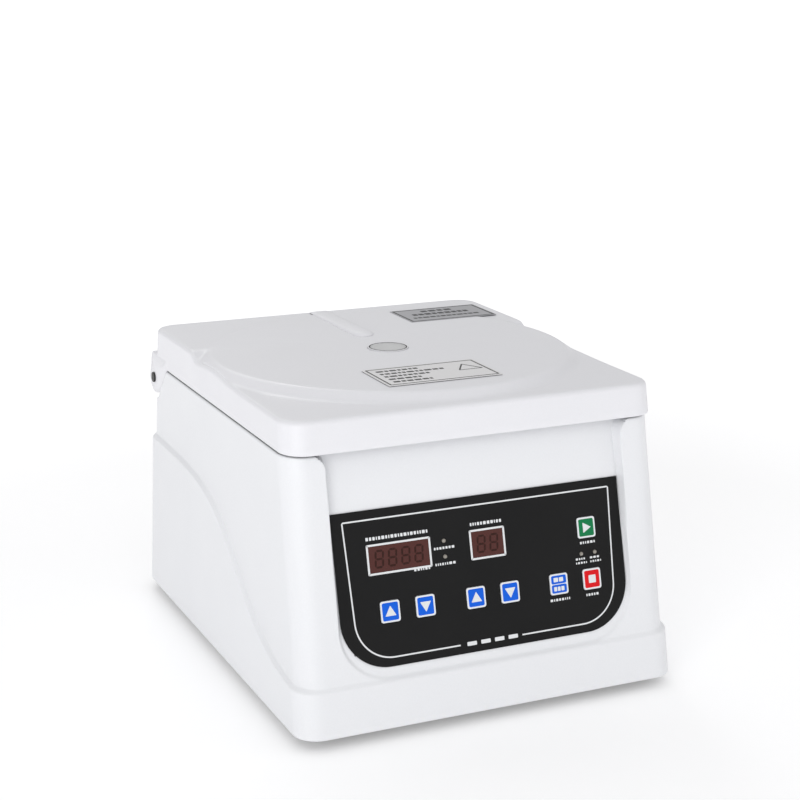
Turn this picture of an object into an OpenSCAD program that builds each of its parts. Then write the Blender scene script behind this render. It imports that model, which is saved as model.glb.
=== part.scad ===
// Benchtop tube centrifuge: moulded housing with a hinged lid, a fixed-angle rotor that carries
// eight tube sleeves, its motor and guard ring, and a membrane-key control panel.
// Millimetres, +Z up, front towards -Y. The origin is on the table, under the middle of the housing.

/* [Housing] */
// Width of the housing at its bottom edge
body_w = 280; // [276:1:340]
// Depth of the housing at its bottom edge
body_d = 349; // [345:1:420]
// Height of the housing from its bottom edge to the lid joint
body_h = 180; // [176:1:220]
// Wall thickness of the mouldings
wall = 3.2; // [2.4:0.1:4]
// Radius of the vertical corners
corner_r = 17; // [12:1:22]
// How far the lower side wall stands out from the upper one
side_step = 2.7; // [1.5:0.1:3.5]
// How far the skirt stands out at the front
skirt_step = 1.5; // [0.8:0.1:2.5]
// Height of the skirt at the front
skirt_h = 29.5; // [26:0.5:30]
// Height of the rubber feet
foot_h = 8; // [5:0.5:12]

/* [Lid] */
// Height of the lid from the joint to its top face
lid_h = 28.2; // [26:0.2:34]
// Gap at the joint between lid and housing
lid_gap = 1.2; // [0.8:0.1:2]
// Lid wall thickness
lid_wall = 3; // [2.4:0.1:3.4]
// Radius of the round raised top
plateau_r = 129.2; // [120:0.2:132]
// Height that the round top stands over the lid's shelf
bevel_h = 8.8; // [6:0.2:10]
// Radius of the sight glass in the middle of the lid
glass_r = 13; // [8:0.5:16]

/* [Rotor] */
// Angle between a tube and the vertical
tube_tilt = 38; // [34:1:40]
// Radius of the circle on which the sleeves sit
ring_r = 49; // [48:0.5:52]
// Radius of the dish rim
rim_r = 72.5; // [68:0.5:80]
// Radius of the flat hub floor
hub_r = 30; // [26:0.5:32]
// Length of a sleeve under its seat
sleeve_len = 80; // [60:1:86]
// Outer radius of a sleeve
sleeve_r = 11; // [10:0.1:11.2]
// Bore radius of a sleeve, for a tube 16 mm thick
tube_r = 8.75; // [7:0.05:9]
// Clearance of a sleeve in its hole in the dish
sleeve_gap = 0.3; // [0.2:0.05:0.5]
// Radius of the motor shaft
shaft_r = 6; // [5:0.5:7]

/* [Panel] */
// Width of the panel sheet
panel_w = 211.5; // [205:0.5:214]
// Length of the panel sheet along the slope
panel_len = 103.2; // [98:0.2:106]
// Width of a key
key_w = 13.6; // [11:0.2:15]
// Height of a key
key_h = 14; // [11:0.2:15]
// Travel of a key
key_travel = 0.4; // [0.2:0.1:0.6]
// Gap around a key
key_gap = 0.3; // [0.2:0.05:0.5]

/* [Hinge and latch] */
// Radius of a hinge pin
pin_r = 3; // [2.5:0.25:4]
// Running clearance between a hinge pin and the lid's ear
pin_gap = 0.06; // [0.03:0.01:0.1]
// Height of the hinge axis under the lid joint
pivot_drop = 11.7; // [11:0.1:13]
// Thickness of a lid ear
ear_t = 5.4; // [4:0.2:6]
// Travel of the latch bolt
bolt_travel = 9; // [7:0.5:11]

/* [Hidden] */

$fn = 48;
HULL_FN = 32;       // facets of the discs that the tapered shells are hulled from
EPS = 0.01;
BIG = 400;
places = 8;

// ---- levels, from the table up ----
z_base = foot_h;
z_joint = z_base + body_h;
deck_z = z_joint - lid_gap / 2;
lid_z = z_joint + lid_gap / 2;
top_z = lid_z + lid_h;

// ---- housing outline: half width, front and rear faces as functions of height ----
side_draft_up = 0.0111;
side_draft_low = 0.009;
front_lean = 0.192;
rear_lean = 0.112;
function rise(z) = z - z_base;
function half_up(z) = body_w / 2 - side_step - side_draft_up * rise(z);
function half_low(z) = body_w / 2 - side_draft_low * rise(z);
function front_low(z) = -body_d / 2 + front_lean * rise(z);
function front_up(z) = front_low(z) + skirt_step;
function rear(z) = body_d / 2 - rear_lean * rise(z);

// ---- front recess and panel plane ----
recess_half = 108.5;
recess_r = 35;
recess_z = z_base + 31;      // bottom of the recess
recess_low = 1.2;            // depth of the recess at its bottom
recess_top = 9;              // depth of the recess at the lid joint
panel_lean = front_lean + (recess_top - recess_low) / (z_joint - recess_z);
plane_y = front_up(recess_z) + recess_low - panel_lean * rise(recess_z);
slope = sqrt(1 + panel_lean * panel_lean);
lean_deg = atan(panel_lean);
recess_s = rise(recess_z) * slope;
panel_s = recess_s + 8;      // lower edge of the panel sheet along the slope
panel_t = 0.8;
panel_r = 33;
window_half = 98;            // half width of the opening behind the panel sheet
window_s0 = panel_s + 11;
window_s1 = panel_s + panel_len - 8;

// Displays: centre along X, centre along the slope, width, height
disp_h = 17.3;
disp_s = panel_s + 70.6;
speed_x = -60.5;
speed_w = 42.8;
time_x = 3.7;
time_w = 23.2;
// Keys: positions along X; the arrow, mode and stop keys share one row
key_row = panel_s + 35.8;
start_row = panel_s + 71.2;
key_xs = [-70.6, -45.4, -8.5, 16.8, 53.9, 79.5, 78.6];
key_ss = [key_row, key_row, key_row, key_row, key_row, key_row, start_row];
// Lamps beside the speed display and between the start and stop keys
lamp_r = 1.5;
lamp_xs = [-27.9, -27.9, 73.3, 83.8];
lamp_ss = [disp_s + 5.7, disp_s - 4.8, panel_s + 53.7, panel_s + 53.7];
// Depths behind the recess face
board_n = -10.2;
board_t = 1.6;
stem_n = -4.1;
switch_n = stem_n - key_travel - 0.4;   // a pressed key stops just off its switch

// ---- rotor ----
axis_y = 8;
axis_tan = tan(tube_tilt);
seat_gap = 0.3;              // a resting sleeve stays this far off the dish
collar_h = 3;
groove_h = 1.3;
flange_h = 4.7;
collar_r = 13.4;
groove_r = 12;
flange_r = 13.5;
head_h = collar_h + groove_h + flange_h;
dish_t = 3;
sleeve_wall_end = 3;
sleeve_low = sleeve_len * cos(tube_tilt) + sleeve_r * sin(tube_tilt);
// The dish hangs so that the flanges stay under the lid's liner
liner_z = lid_z + 3.4;
seat_z = liner_z - 16.5 - (seat_gap + head_h) * cos(tube_tilt) - flange_r * sin(tube_tilt) + 1;
hub_z = seat_z - (ring_r - hub_r) * axis_tan;
rim_z = hub_z + (rim_r - hub_r) * axis_tan;
hub_low = hub_z - 20;
sweep_r = ring_r + sleeve_len * sin(tube_tilt) + sleeve_r * cos(tube_tilt);

// ---- chamber ----
bowl_r = sweep_r + 4.5;
bowl_t = 1.5;
guard_r = bowl_r + bowl_t + 1;
guard_t = 3;
flange_out = guard_r + guard_t + 2;
floor_z = seat_z - sleeve_low - 5;
boot_r = 17;
seal_z = deck_z + bowl_t;

// ---- motor ----
plate_z = z_base + 15;
plate_t = 3;
motor_r = 42;
motor_z0 = plate_z + plate_t;
motor_z1 = floor_z - 5;
motor_wall = 4;
bearing_r = 14;
bearing_t = 9;
run_gap = 0.05;              // running clearance of the bearings on the shaft

// ---- hinge ----
pivot_z = z_joint - pivot_drop;
pivot_y = rear(pivot_z) - 6.8;
ear_r = 12.5;
ear_in = half_up(z_joint) - ear_t;
notch_gap = 0.8;
notch_r = 16.6;
notch_in = ear_in - notch_gap;
pin_in = notch_in - 6;

// ---- latch ----
deck_in_y = plane_y + panel_lean * rise(deck_z) + wall;
slot_y0 = deck_in_y + 1.4;
slot_y1 = -(flange_out - axis_y) - 0.9;
slot_gap = 1.5;
hook_d = slot_y1 - slot_y0 - 2 * slot_gap;
hook_y = (slot_y0 + slot_y1) / 2;
hook_t = 3;
hook_low = deck_z - 24;
bolt_z = deck_z - 17;
bolt_r = 2.2;
bolt_gap = 0.4;
bolt_rest = hook_t / 2 + 2.5;
bolt_len = 21 + bolt_travel;

// ================= shared shapes =================

// Tapered block with rounded upright corners: half widths and front and rear faces at two heights
module tapered(w0, f0, r0, w1, f1, r1, z0, z1, rad) {
    hull() {
        for (sx = [-1, 1]) {
            translate([sx * (w0 - rad), f0 + rad, z0]) cylinder(r = rad, h = EPS, $fn = HULL_FN);
            translate([sx * (w0 - rad), r0 - rad, z0]) cylinder(r = rad, h = EPS, $fn = HULL_FN);
            translate([sx * (w1 - rad), f1 + rad, z1 - EPS]) cylinder(r = rad, h = EPS, $fn = HULL_FN);
            translate([sx * (w1 - rad), r1 - rad, z1 - EPS]) cylinder(r = rad, h = EPS, $fn = HULL_FN);
        }
    }
}

// Upper housing outline between two heights, moved inwards by inset
module upper_block(z0, z1, inset = 0) {
    tapered(half_up(z0) - inset, front_up(z0) + inset, rear(z0) - inset,
            half_up(z1) - inset, front_up(z1) + inset, rear(z1) - inset,
            z0, z1, corner_r - inset);
}

// Outline drawn in the Y-Z plane and drawn out along X from x0 to x1
module along_x(x0, x1) {
    translate([x0, 0, 0]) rotate([90, 0, 90]) linear_extrude(height = x1 - x0) children();
}

module ring(r_out, r_in, z0, z1) {
    translate([0, 0, z0]) difference() {
        cylinder(r = r_out, h = z1 - z0);
        translate([0, 0, -1]) cylinder(r = r_in, h = z1 - z0 + 2);
    }
}

module at_axis() {
    translate([0, axis_y, 0]) children();
}

// Panel frame: X across, Y up the slope, Z out of the recess face
module on_panel(n = 0) {
    translate([0, plane_y, z_base]) rotate([90 - lean_deg, 0, 0]) translate([0, 0, n]) children();
}

// Rear frame: X across, Y up the rear face, Z out of it
module on_rear(x, z) {
    translate([x, rear(z), z]) rotate([90 + atan(rear_lean), 0, 0]) mirror([0, 0, 1]) children();
}

module rounded_rect(w, h, r) {
    square([w - 2 * r, h], center = true);
    square([w, h - 2 * r], center = true);
    for (sx = [-1, 1], sy = [-1, 1]) {
        translate([sx * (w / 2 - r), sy * (h / 2 - r)]) circle(r = r);
    }
}

// Tray outline: square top corners, round bottom corners, from s0 to s1
module tray_outline(half, s0, s1, r) {
    translate([-half, s0 + r]) square([2 * half, s1 - s0 - r]);
    translate([-half + r, s0]) square([2 * half - 2 * r, r + EPS]);
    for (sx = [-1, 1]) {
        translate([sx * (half - r), s0 + r]) circle(r = r, $fn = 64);
    }
}

// ================= housing =================

// Height of the S-shaped step on the side wall at depth y
step_mid = -0.135 * body_d;
step_span = 93;
step_len = 30;
function step_at(y) = z_base + skirt_h + step_span / (1 + exp(-(y - step_mid) / step_len));

module lower_region() {
    n = 24;
    y0 = -body_d / 2 - 2;
    dy = (body_d + 4) / n;
    along_x(-body_w, body_w)
        polygon(concat(
            [[y0, z_base - 1]],
            [for (i = [0:n]) [y0 + i * dy, step_at(y0 + i * dy)]],
            [[-y0, z_base - 1]]));
}

z_step_top = z_base + skirt_h + step_span + 2;

module outer_body() {
    upper_block(z_base, deck_z);
    intersection() {
        tapered(half_low(z_base), front_low(z_base), rear(z_base),
                half_low(z_step_top), front_low(z_step_top), rear(z_step_top),
                z_base, z_step_top, corner_r);
        lower_region();
    }
}

module recess_cut(grow = 0) {
    on_panel(-grow) linear_extrude(height = 60)
        tray_outline(recess_half + grow, recess_s - grow, recess_s + BIG / 2, recess_r + grow);
}

// Outline of the lid ear about the hinge axis, in Y-Z
module ear_outline(grow = 0) {
    front_y = pivot_y - 33.6;
    translate([pivot_y, pivot_z]) circle(r = ear_r + grow);
    polygon([
        [front_y - grow * 1.6, z_joint + 12], [front_y - grow * 1.6, z_joint + 1],
        [pivot_y - 12.6 - grow * 1.2, pivot_z - 9.3 - grow],
        [pivot_y, pivot_z - ear_r - grow],
        [pivot_y + ear_r + grow, pivot_z],
        [rear(z_joint + 12) + grow, z_joint + 12]
    ]);
}

module notch_outline() {
    ear_outline(notch_gap);
    translate([pivot_y, pivot_z]) circle(r = notch_r);
}

// Pocket in the rear corner for the ear: cut from the wall, with a floor of its own behind it
module ear_pocket(sx) {
    x0 = sx > 0 ? notch_in : -body_w;
    along_x(x0, x0 + body_w - notch_in) notch_outline();
}

module pocket_floor(sx) {
    intersection() {
        upper_block(z_base, deck_z);
        union() {
            x0 = sx > 0 ? notch_in - wall : -half_up(z_base);
            along_x(x0, x0 + half_up(z_base) - notch_in + wall)
                union() {
                    translate([pivot_y, pivot_z]) circle(r = notch_r + wall);
                    translate([pivot_y - 42, pivot_z - 20]) square([60, 40]);
                }
            mirror([sx > 0 ? 0 : 1, 0, 0])
                translate([pin_in - 3, pivot_y, pivot_z]) rotate([0, 90, 0]) cylinder(r = 8, h = 14);
        }
    }
}

boss_xs = [-1, 1];
boss_in = 12;
boss_r = 5;
screw_r = 1.9;
boss_ys = [-body_d / 2 + 40, body_d / 2 - 40];

module shell_bosses() {
    for (sx = [-1, 1], y = boss_ys) {
        translate([sx * (body_w / 2 - boss_in - 4) - boss_r, y - boss_r, z_base + 4])
            cube([2 * boss_r, 2 * boss_r, 26]);
        translate([sx > 0 ? body_w / 2 - boss_in - 4 : -body_w / 2 + 4, y - 2, z_base + 4])
            cube([boss_in, 4, 26]);
    }
}

module screw_holes(z0, h, r) {
    for (sx = [-1, 1], y = boss_ys) {
        translate([sx * (body_w / 2 - boss_in - 4), y, z0]) cylinder(r = r, h = h);
    }
}

inlet_x = 78;
inlet_z = z_base + 44;
inlet_w = 28;
inlet_h = 38;
rocker_x = 36;
rocker_z = z_base + 40;
rocker_w = 14;
rocker_h = 20;

module rear_openings() {
    on_rear(inlet_x, inlet_z) translate([-inlet_w / 2, -inlet_h / 2, -10]) cube([inlet_w, inlet_h, 20]);
    on_rear(rocker_x, rocker_z) translate([-rocker_w / 2, -rocker_h / 2, -10])
        cube([rocker_w, rocker_h, 20]);
    for (i = [0:9]) {
        on_rear(-82 + 9 * i - 18, z_base + 62) translate([-2, -20, -10]) cube([4, 40, 20]);
    }
}

module body_shell() {
    color([0.93, 0.93, 0.94])
    difference() {
        union() {
            difference() {
                outer_body();
                difference() {
                    upper_block(z_base - 1, deck_z - wall, wall);
                    recess_cut(wall);
                }
            }
            for (sx = [-1, 1]) pocket_floor(sx);
            shell_bosses();
        }
        recess_cut();
        for (sx = [-1, 1]) ear_pocket(sx);
        // opening behind the panel sheet
        on_panel(-12) linear_extrude(height = 30)
            translate([-window_half, window_s0]) square([2 * window_half, window_s1 - window_s0]);
        // chamber opening in the deck
        at_axis() translate([0, 0, deck_z - 12]) cylinder(r = bowl_r + bowl_t + 0.5, h = 30);
        // latch slot
        translate([-hook_t / 2 - slot_gap, slot_y0, deck_z - 10])
            cube([hook_t + 2 * slot_gap, slot_y1 - slot_y0, 20]);
        // rear top edge is relieved so that the opening lid clears it
        along_x(-notch_in - 1, notch_in + 1)
            polygon([[rear(deck_z) - 4.5, deck_z + 1], [rear(deck_z) + 3, deck_z + 1],
                     [rear(deck_z) + 3, deck_z - 7], [rear(deck_z) - 4.5, deck_z + 0.2]]);
        // hinge pin holes
        for (sx = [0, 1]) {
            mirror([sx, 0, 0]) translate([pin_in, pivot_y, pivot_z]) rotate([0, 90, 0])
                cylinder(r = pin_r, h = 30);
        }
        screw_holes(z_base + 2, 22, screw_r);
        rear_openings();
    }
}

plate_in = wall + 0.4;
base_t = 3;

module base_plate() {
    color([0.2, 0.2, 0.22])
    difference() {
        upper_block(z_base, z_base + base_t, plate_in);
        screw_holes(z_base - 1, 10, screw_r + 0.3);
        // cooling slots under the motor
        for (i = [-4:4]) {
            translate([i * 9 - 2, axis_y - 20, z_base - 1]) cube([4, 40, 10]);
        }
    }
}

foot_r = 10;
foot_xs = body_w / 2 - 30;
foot_ys = body_d / 2 - 28;

module rubber_feet() {
    color([0.08, 0.08, 0.08])
    for (sx = [-1, 1], sy = [-1, 1]) {
        translate([sx * foot_xs, sy * foot_ys, 0]) {
            cylinder(r1 = foot_r - 1.2, r2 = foot_r, h = 2);
            translate([0, 0, 2]) cylinder(r = foot_r, h = foot_h - 2);
        }
    }
}

module base_screws() {
    color([0.7, 0.7, 0.72])
    for (sx = [-1, 1], y = boss_ys) {
        translate([sx * (body_w / 2 - boss_in - 4), y, 0]) {
            translate([0, 0, z_base - 2]) cylinder(r = 3.4, h = 2);
            translate([0, 0, z_base - 1]) cylinder(r = screw_r - 0.05, h = 16);
        }
    }
}

// ================= chamber =================

module chamber_bowl() {
    color([0.75, 0.76, 0.78])
    at_axis() difference() {
        union() {
            translate([0, 0, floor_z]) cylinder(r = bowl_r + bowl_t, h = seal_z - floor_z);
            translate([0, 0, deck_z]) cylinder(r = flange_out, h = bowl_t);
        }
        translate([0, 0, floor_z + bowl_t]) cylinder(r = bowl_r, h = BIG);
        translate([0, 0, floor_z - 1]) cylinder(r = boot_r, h = 10);
    }
}

guard_low = z_base + base_t;

module guard_ring() {
    color([0.35, 0.36, 0.38])
    at_axis() difference() {
        ring(guard_r + guard_t, guard_r, guard_low, deck_z - wall - 1);
        // four windows leave four legs standing on the base plate
        for (a = [0:3]) {
            rotate([0, 0, 45 + 90 * a]) translate([0, 0, guard_low - 1])
                linear_extrude(height = floor_z - guard_low - 4)
                polygon([[0, 0], [BIG / 2, -BIG / 2 * tan(34)], [BIG / 2, BIG / 2 * tan(34)]]);
        }
    }
}

module chamber_seal() {
    color([0.1, 0.1, 0.1])
    at_axis() {
        ring(flange_out - 0.6, flange_out - 6.6, seal_z, seal_z + 1);
        ring(flange_out - 2, flange_out - 5, seal_z + 1, liner_z - 0.9);
    }
}

module shaft_boot() {
    color([0.12, 0.12, 0.12])
    at_axis() difference() {
        union() {
            translate([0, 0, motor_z1]) cylinder(r = boot_r - 0.2, h = floor_z - motor_z1 + bowl_t);
            translate([0, 0, floor_z + bowl_t]) cylinder(r1 = boot_r + 3, r2 = shaft_r + 5, h = 5);
        }
        translate([0, 0, motor_z1 - 1]) cylinder(r = shaft_r + 3, h = BIG);
    }
}

// ================= motor and rotor =================

module motor_housing() {
    color([0.55, 0.56, 0.58])
    at_axis() difference() {
        translate([0, 0, motor_z0]) cylinder(r = motor_r, h = motor_z1 - motor_z0);
        translate([0, 0, motor_z0 + bearing_t + motor_wall])
            cylinder(r = motor_r - motor_wall, h = motor_z1 - motor_z0 - 2 * bearing_t - 2 * motor_wall);
        translate([0, 0, motor_z0 + motor_wall]) cylinder(r = bearing_r, h = bearing_t + 1);
        translate([0, 0, motor_z1 - motor_wall - bearing_t - 1]) cylinder(r = bearing_r, h = bearing_t + 1);
        translate([0, 0, motor_z1 - motor_wall - 1]) cylinder(r = shaft_r + 1.5, h = 10);
    }
}

module motor_plate() {
    color([0.3, 0.3, 0.32])
    at_axis() difference() {
        translate([-68, -68, plate_z]) cube([136, 136, plate_t]);
        for (sx = [-1, 1], sy = [-1, 1]) {
            translate([sx * 56, sy * 56, plate_z - 1]) cylinder(r = 4, h = 10);
        }
    }
}

module motor_dampers() {
    color([0.12, 0.12, 0.12])
    at_axis() for (sx = [-1, 1], sy = [-1, 1]) {
        translate([sx * 56, sy * 56, guard_low]) cylinder(r = 9, h = plate_z - guard_low);
        translate([sx * 56, sy * 56, plate_z]) cylinder(r = 4, h = plate_t);
        translate([sx * 56, sy * 56, plate_z + plate_t]) cylinder(r = 8, h = 4);
    }
}

module motor_bearings() {
    color([0.7, 0.7, 0.72])
    at_axis() {
        ring(bearing_r, shaft_r + run_gap, motor_z0 + motor_wall, motor_z0 + motor_wall + bearing_t);
        ring(bearing_r, shaft_r + run_gap, motor_z1 - motor_wall - bearing_t, motor_z1 - motor_wall);
    }
}

armature_z0 = motor_z0 + motor_wall + bearing_t + 2;
armature_z1 = motor_z1 - motor_wall - bearing_t - 2;

module motor_armature() {
    color([0.5, 0.35, 0.2])
    at_axis() ring(motor_r - motor_wall - 1.5, shaft_r, armature_z0, armature_z1);
}

thread_r = shaft_r - 2;
nut_base_h = 5;

module motor_shaft() {
    color([0.72, 0.73, 0.75])
    at_axis() {
        translate([0, 0, motor_z0 + motor_wall + 0.5])
            cylinder(r = shaft_r, h = hub_low - motor_z0 - motor_wall - 0.5 + 12);
        translate([0, 0, hub_low - 4]) cylinder(r = shaft_r + 3, h = 4);
        translate([0, 0, hub_low + 12 - EPS]) cylinder(r = thread_r, h = hub_z - hub_low - 12 + 16);
    }
}

// Conical dish, turned as one profile, with a hub boss under its floor
module dish_blank() {
    drop = dish_t / cos(tube_tilt);
    rotate_extrude($fn = 96)
        polygon([
            [0, hub_low], [15, hub_low], [15, hub_z - dish_t - 3],
            [hub_r + 2, hub_z - dish_t], [rim_r, rim_z - drop - 0.5],
            [rim_r + 1.2, rim_z - drop + 1], [rim_r + 1.2, rim_z],
            [rim_r, rim_z], [hub_r, hub_z], [0, hub_z]
        ]);
}

// Frame of a tube place: origin on the cone's surface, Z up along the tube
module at_place(i) {
    at_axis() rotate([0, 0, 360 / places * i]) translate([ring_r, 0, seat_z])
        rotate([0, -tube_tilt, 0]) children();
}

module rotor_dish() {
    color([0.3, 0.3, 0.32])
    difference() {
        at_axis() dish_blank();
        for (i = [0:places - 1]) {
            at_place(i) {
                translate([0, 0, -20]) cylinder(r = sleeve_r + sleeve_gap, h = 40);
                cylinder(r = collar_r + seat_gap, h = 20);
            }
        }
        at_axis() translate([0, 0, hub_low - 1]) cylinder(r = shaft_r, h = 13);
        at_axis() translate([0, 0, hub_low]) cylinder(r = thread_r, h = 40);
    }
}

grip_w = 26;
grip_t = 2.5;
grip_h = 19;
grip_span = 15;
nut_lift = 0.3;

module rotor_nut() {
    color([0.16, 0.16, 0.17])
    at_axis() translate([0, 0, hub_z + nut_lift]) difference() {
        union() {
            cylinder(r = 15.5, h = nut_base_h);
            cylinder(r = 6.6, h = nut_base_h + 5);
            for (sy = [-1, 1]) {
                translate([-grip_w / 2, sy * grip_span / 2 - grip_t / 2, 0])
                    cube([grip_w, grip_t, grip_h]);
            }
        }
        translate([0, 0, -1]) cylinder(r = thread_r + run_gap, h = 30);
    }
}

module tube_sleeve(i) {
    color([0.42, 0.43, 0.45])
    at_place(i) rotate_extrude()
        polygon([
            [0, -sleeve_len], [sleeve_r - 1.5, -sleeve_len], [sleeve_r, -sleeve_len + 1.5],
            [sleeve_r, seat_gap], [collar_r - 0.6, seat_gap], [collar_r, seat_gap + 0.6],
            [collar_r, seat_gap + collar_h - 0.5], [collar_r - 0.5, seat_gap + collar_h],
            [groove_r, seat_gap + collar_h],
            [groove_r, seat_gap + collar_h + groove_h],
            [flange_r - 0.5, seat_gap + collar_h + groove_h],
            [flange_r, seat_gap + collar_h + groove_h + 0.5],
            [flange_r, seat_gap + head_h - 1.5], [flange_r - 1.5, seat_gap + head_h],
            [tube_r + 0.6, seat_gap + head_h], [tube_r, seat_gap + head_h - 0.6],
            [tube_r, -sleeve_len + sleeve_wall_end], [0, -sleeve_len + sleeve_wall_end]
        ]);
}

// ================= lid =================

shelf_drop = 10.2;           // height that the lid's front edge lies under its top face
shelf_rise_y = -39;
shelf_back = 5.9;
lid_front_over = 5.3;
lid_front_lean = 0.2;
function lid_front(z) = front_up(z_joint) - lid_front_over + lid_front_lean * (z - z_joint);
cone_run = 12.8;
cone_low = top_z - bevel_h;
rear_block_y = axis_y + 42;
rear_lip = 4;                // bevel along the sides of the rear block

// Full outline of the lid up to its top face, moved inwards by inset
module lid_block(z0, z1, inset = 0) {
    tapered(half_up(z0) - inset, lid_front(z0) + inset, rear(z0) - inset,
            half_up(z1) - inset, lid_front(z1) + inset, rear(z1) - inset,
            z0, z1, corner_r - inset);
}

// Shelf, round top and rear block, lowered by drop
module lid_top_form(drop = 0, inset = 0) {
    y_front = lid_front(lid_z) - 5;
    translate([0, 0, -drop]) {
        along_x(-body_w, body_w)
            polygon([[y_front, z_base], [y_front, top_z - shelf_drop],
                     [shelf_rise_y, top_z - shelf_back], [rear_block_y, top_z - shelf_back + 1],
                     [rear_block_y, z_base]]);
        along_x(-body_w, body_w)
            polygon([[rear_block_y - EPS, z_base], [rear_block_y - EPS, top_z - rear_lip],
                     [rear_block_y + 3, top_z - rear_lip + 2.8], [rear_block_y + 6, top_z],
                     [BIG, top_z], [BIG, z_base]]);
        at_axis() translate([0, 0, cone_low])
            cylinder(r1 = plateau_r + cone_run - inset, r2 = plateau_r - inset, h = bevel_h);
        at_axis() translate([0, 0, z_base]) cylinder(r = plateau_r + cone_run - inset, h = cone_low - z_base + EPS);
    }
}

module lid_ear(sx) {
    x0 = sx > 0 ? ear_in : -ear_in - ear_t;
    along_x(x0, x0 + ear_t) ear_outline();
}

rib_w = 16;
rib_h = 2.5;
rib_y0 = axis_y + 39;
rib_y1 = rear(top_z) - 6;

module lid_rib() {
    for (k = [0, 1]) {
        w = rib_w - 4.4 * k;
        translate([0, 0, top_z - EPS]) linear_extrude(height = k == 0 ? rib_h - 1.2 : rib_h)
            union() {
                translate([-w / 2, rib_y0 + rib_w / 2]) square([w, rib_y1 - rib_y0 - rib_w / 2]);
                translate([0, rib_y0 + rib_w / 2]) circle(r = w / 2);
            }
    }
}

module lid_cover() {
    color([0.92, 0.92, 0.93])
    difference() {
        union() {
            difference() {
                intersection() {
                    lid_block(lid_z, top_z);
                    lid_top_form();
                }
                intersection() {
                    lid_block(lid_z - 1, top_z - lid_wall, lid_wall);
                    lid_top_form(lid_wall, lid_wall);
                }
            }
            intersection() {
                union() {
                    for (sx = [-1, 1]) lid_ear(sx);
                }
                lid_block(pivot_z - 40, z_joint + 14);
            }
            for (sx = [-1, 1]) {
                x0 = sx > 0 ? ear_in : -ear_in - ear_t;
                along_x(x0, x0 + ear_t)
                    intersection() {
                        ear_outline();
                        translate([pivot_y - 50, 0]) square([100, lid_z]);
                    }
            }
            lid_rib();
        }
        at_axis() translate([0, 0, lid_z]) cylinder(r = bezel_r, h = BIG);
        // hinge bores
        translate([-body_w, pivot_y, pivot_z]) rotate([0, 90, 0])
            cylinder(r = pin_r + pin_gap, h = 2 * body_w);
    }
}

liner_t = 1.6;
liner_in = lid_wall + 0.4;
bezel_r = glass_r + 1.7;

module lid_liner() {
    color([0.86, 0.86, 0.87])
    difference() {
        lid_block(liner_z, liner_z + liner_t, liner_in);
        at_axis() translate([0, 0, liner_z - 1]) cylinder(r = bezel_r, h = 10);
        for (sx = [-1, 1]) {
            translate([sx > 0 ? ear_in - 0.4 : -body_w, pivot_y - 40, liner_z - 1])
                cube([body_w - ear_in + 0.4, 80, 10]);
        }
    }
}

module lid_seal() {
    color([0.12, 0.12, 0.12])
    at_axis() ring(flange_out - 0.6, flange_out - 6.6, liner_z - 0.6, liner_z);
}

module sight_glass() {
    color([0.8, 0.85, 0.88, 0.5])
    at_axis() translate([0, 0, top_z - 3]) cylinder(r = glass_r, h = 3.2);
}

module sight_bezel() {
    color([0.2, 0.2, 0.22])
    at_axis() {
        ring(bezel_r, glass_r, liner_z, top_z + 0.3);
        ring(glass_r, glass_r - 1.5, liner_z, top_z - 3);
    }
}

module lid_hook() {
    color([0.7, 0.71, 0.73])
    difference() {
        union() {
            translate([-hook_t / 2, hook_y - hook_d / 2, hook_low])
                cube([hook_t, hook_d, liner_z - hook_low]);
            translate([-12, hook_y - hook_d / 2, liner_z - 2]) cube([24, hook_d, 2]);
        }
        translate([-10, hook_y, bolt_z]) rotate([0, 90, 0]) cylinder(r = bolt_r + bolt_gap, h = 20);
    }
}

plate_sheet = 0.4;

module rating_plate() {
    color([0.62, 0.63, 0.65])
    translate([51, axis_y + 70, top_z]) cube([73, 43, plate_sheet]);
}

module safety_label() {
    color([0.95, 0.95, 0.93])
    translate([-46.5, axis_y - 108.5, top_z]) cube([84.5, 48, plate_sheet]);
}

pin_head_r = pin_r + 0.9;
pin_head_t = 1;

module hinge_pins() {
    color([0.08, 0.08, 0.08])
    for (sx = [0, 1]) {
        mirror([sx, 0, 0]) translate([pin_in, pivot_y, pivot_z]) rotate([0, 90, 0]) {
            cylinder(r = pin_r, h = ear_in + ear_t + 0.3 - pin_in);
            translate([0, 0, ear_in + ear_t + 0.3 - pin_in]) cylinder(r = pin_head_r, h = pin_head_t);
        }
    }
}

// ================= latch =================

solenoid_x0 = hook_t / 2 + 9;
solenoid_l = 34;
solenoid_h = 16;

module latch_housing() {
    color([0.5, 0.51, 0.53])
    difference() {
        union() {
            translate([solenoid_x0, hook_y - hook_d / 2, bolt_z - solenoid_h / 2])
                cube([solenoid_l, hook_d, solenoid_h]);
            // hanger plate under the deck, with a keeper on the far side of the hook
            translate([4, hook_y - hook_d / 2, deck_z - wall - 2]) cube([solenoid_x0 + solenoid_l - 4, hook_d, 2]);
            translate([solenoid_x0, hook_y - hook_d / 2, bolt_z]) cube([3, hook_d, deck_z - wall - bolt_z]);
            translate([solenoid_x0 + solenoid_l - 3, hook_y - hook_d / 2, bolt_z])
                cube([3, hook_d, deck_z - wall - bolt_z]);
        }
        translate([0, hook_y, bolt_z]) rotate([0, 90, 0])
            cylinder(r = bolt_r + 0.08, h = solenoid_x0 + solenoid_l - 4);
    }
}

module latch_bolt() {
    color([0.75, 0.76, 0.78])
    translate([bolt_rest, hook_y, bolt_z]) rotate([0, 90, 0]) cylinder(r = bolt_r, h = bolt_len);
}

// ================= control panel =================

module key_at(i, n = 0) {
    on_panel(n) translate([key_xs[i], key_ss[i], 0]) children();
}

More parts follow.
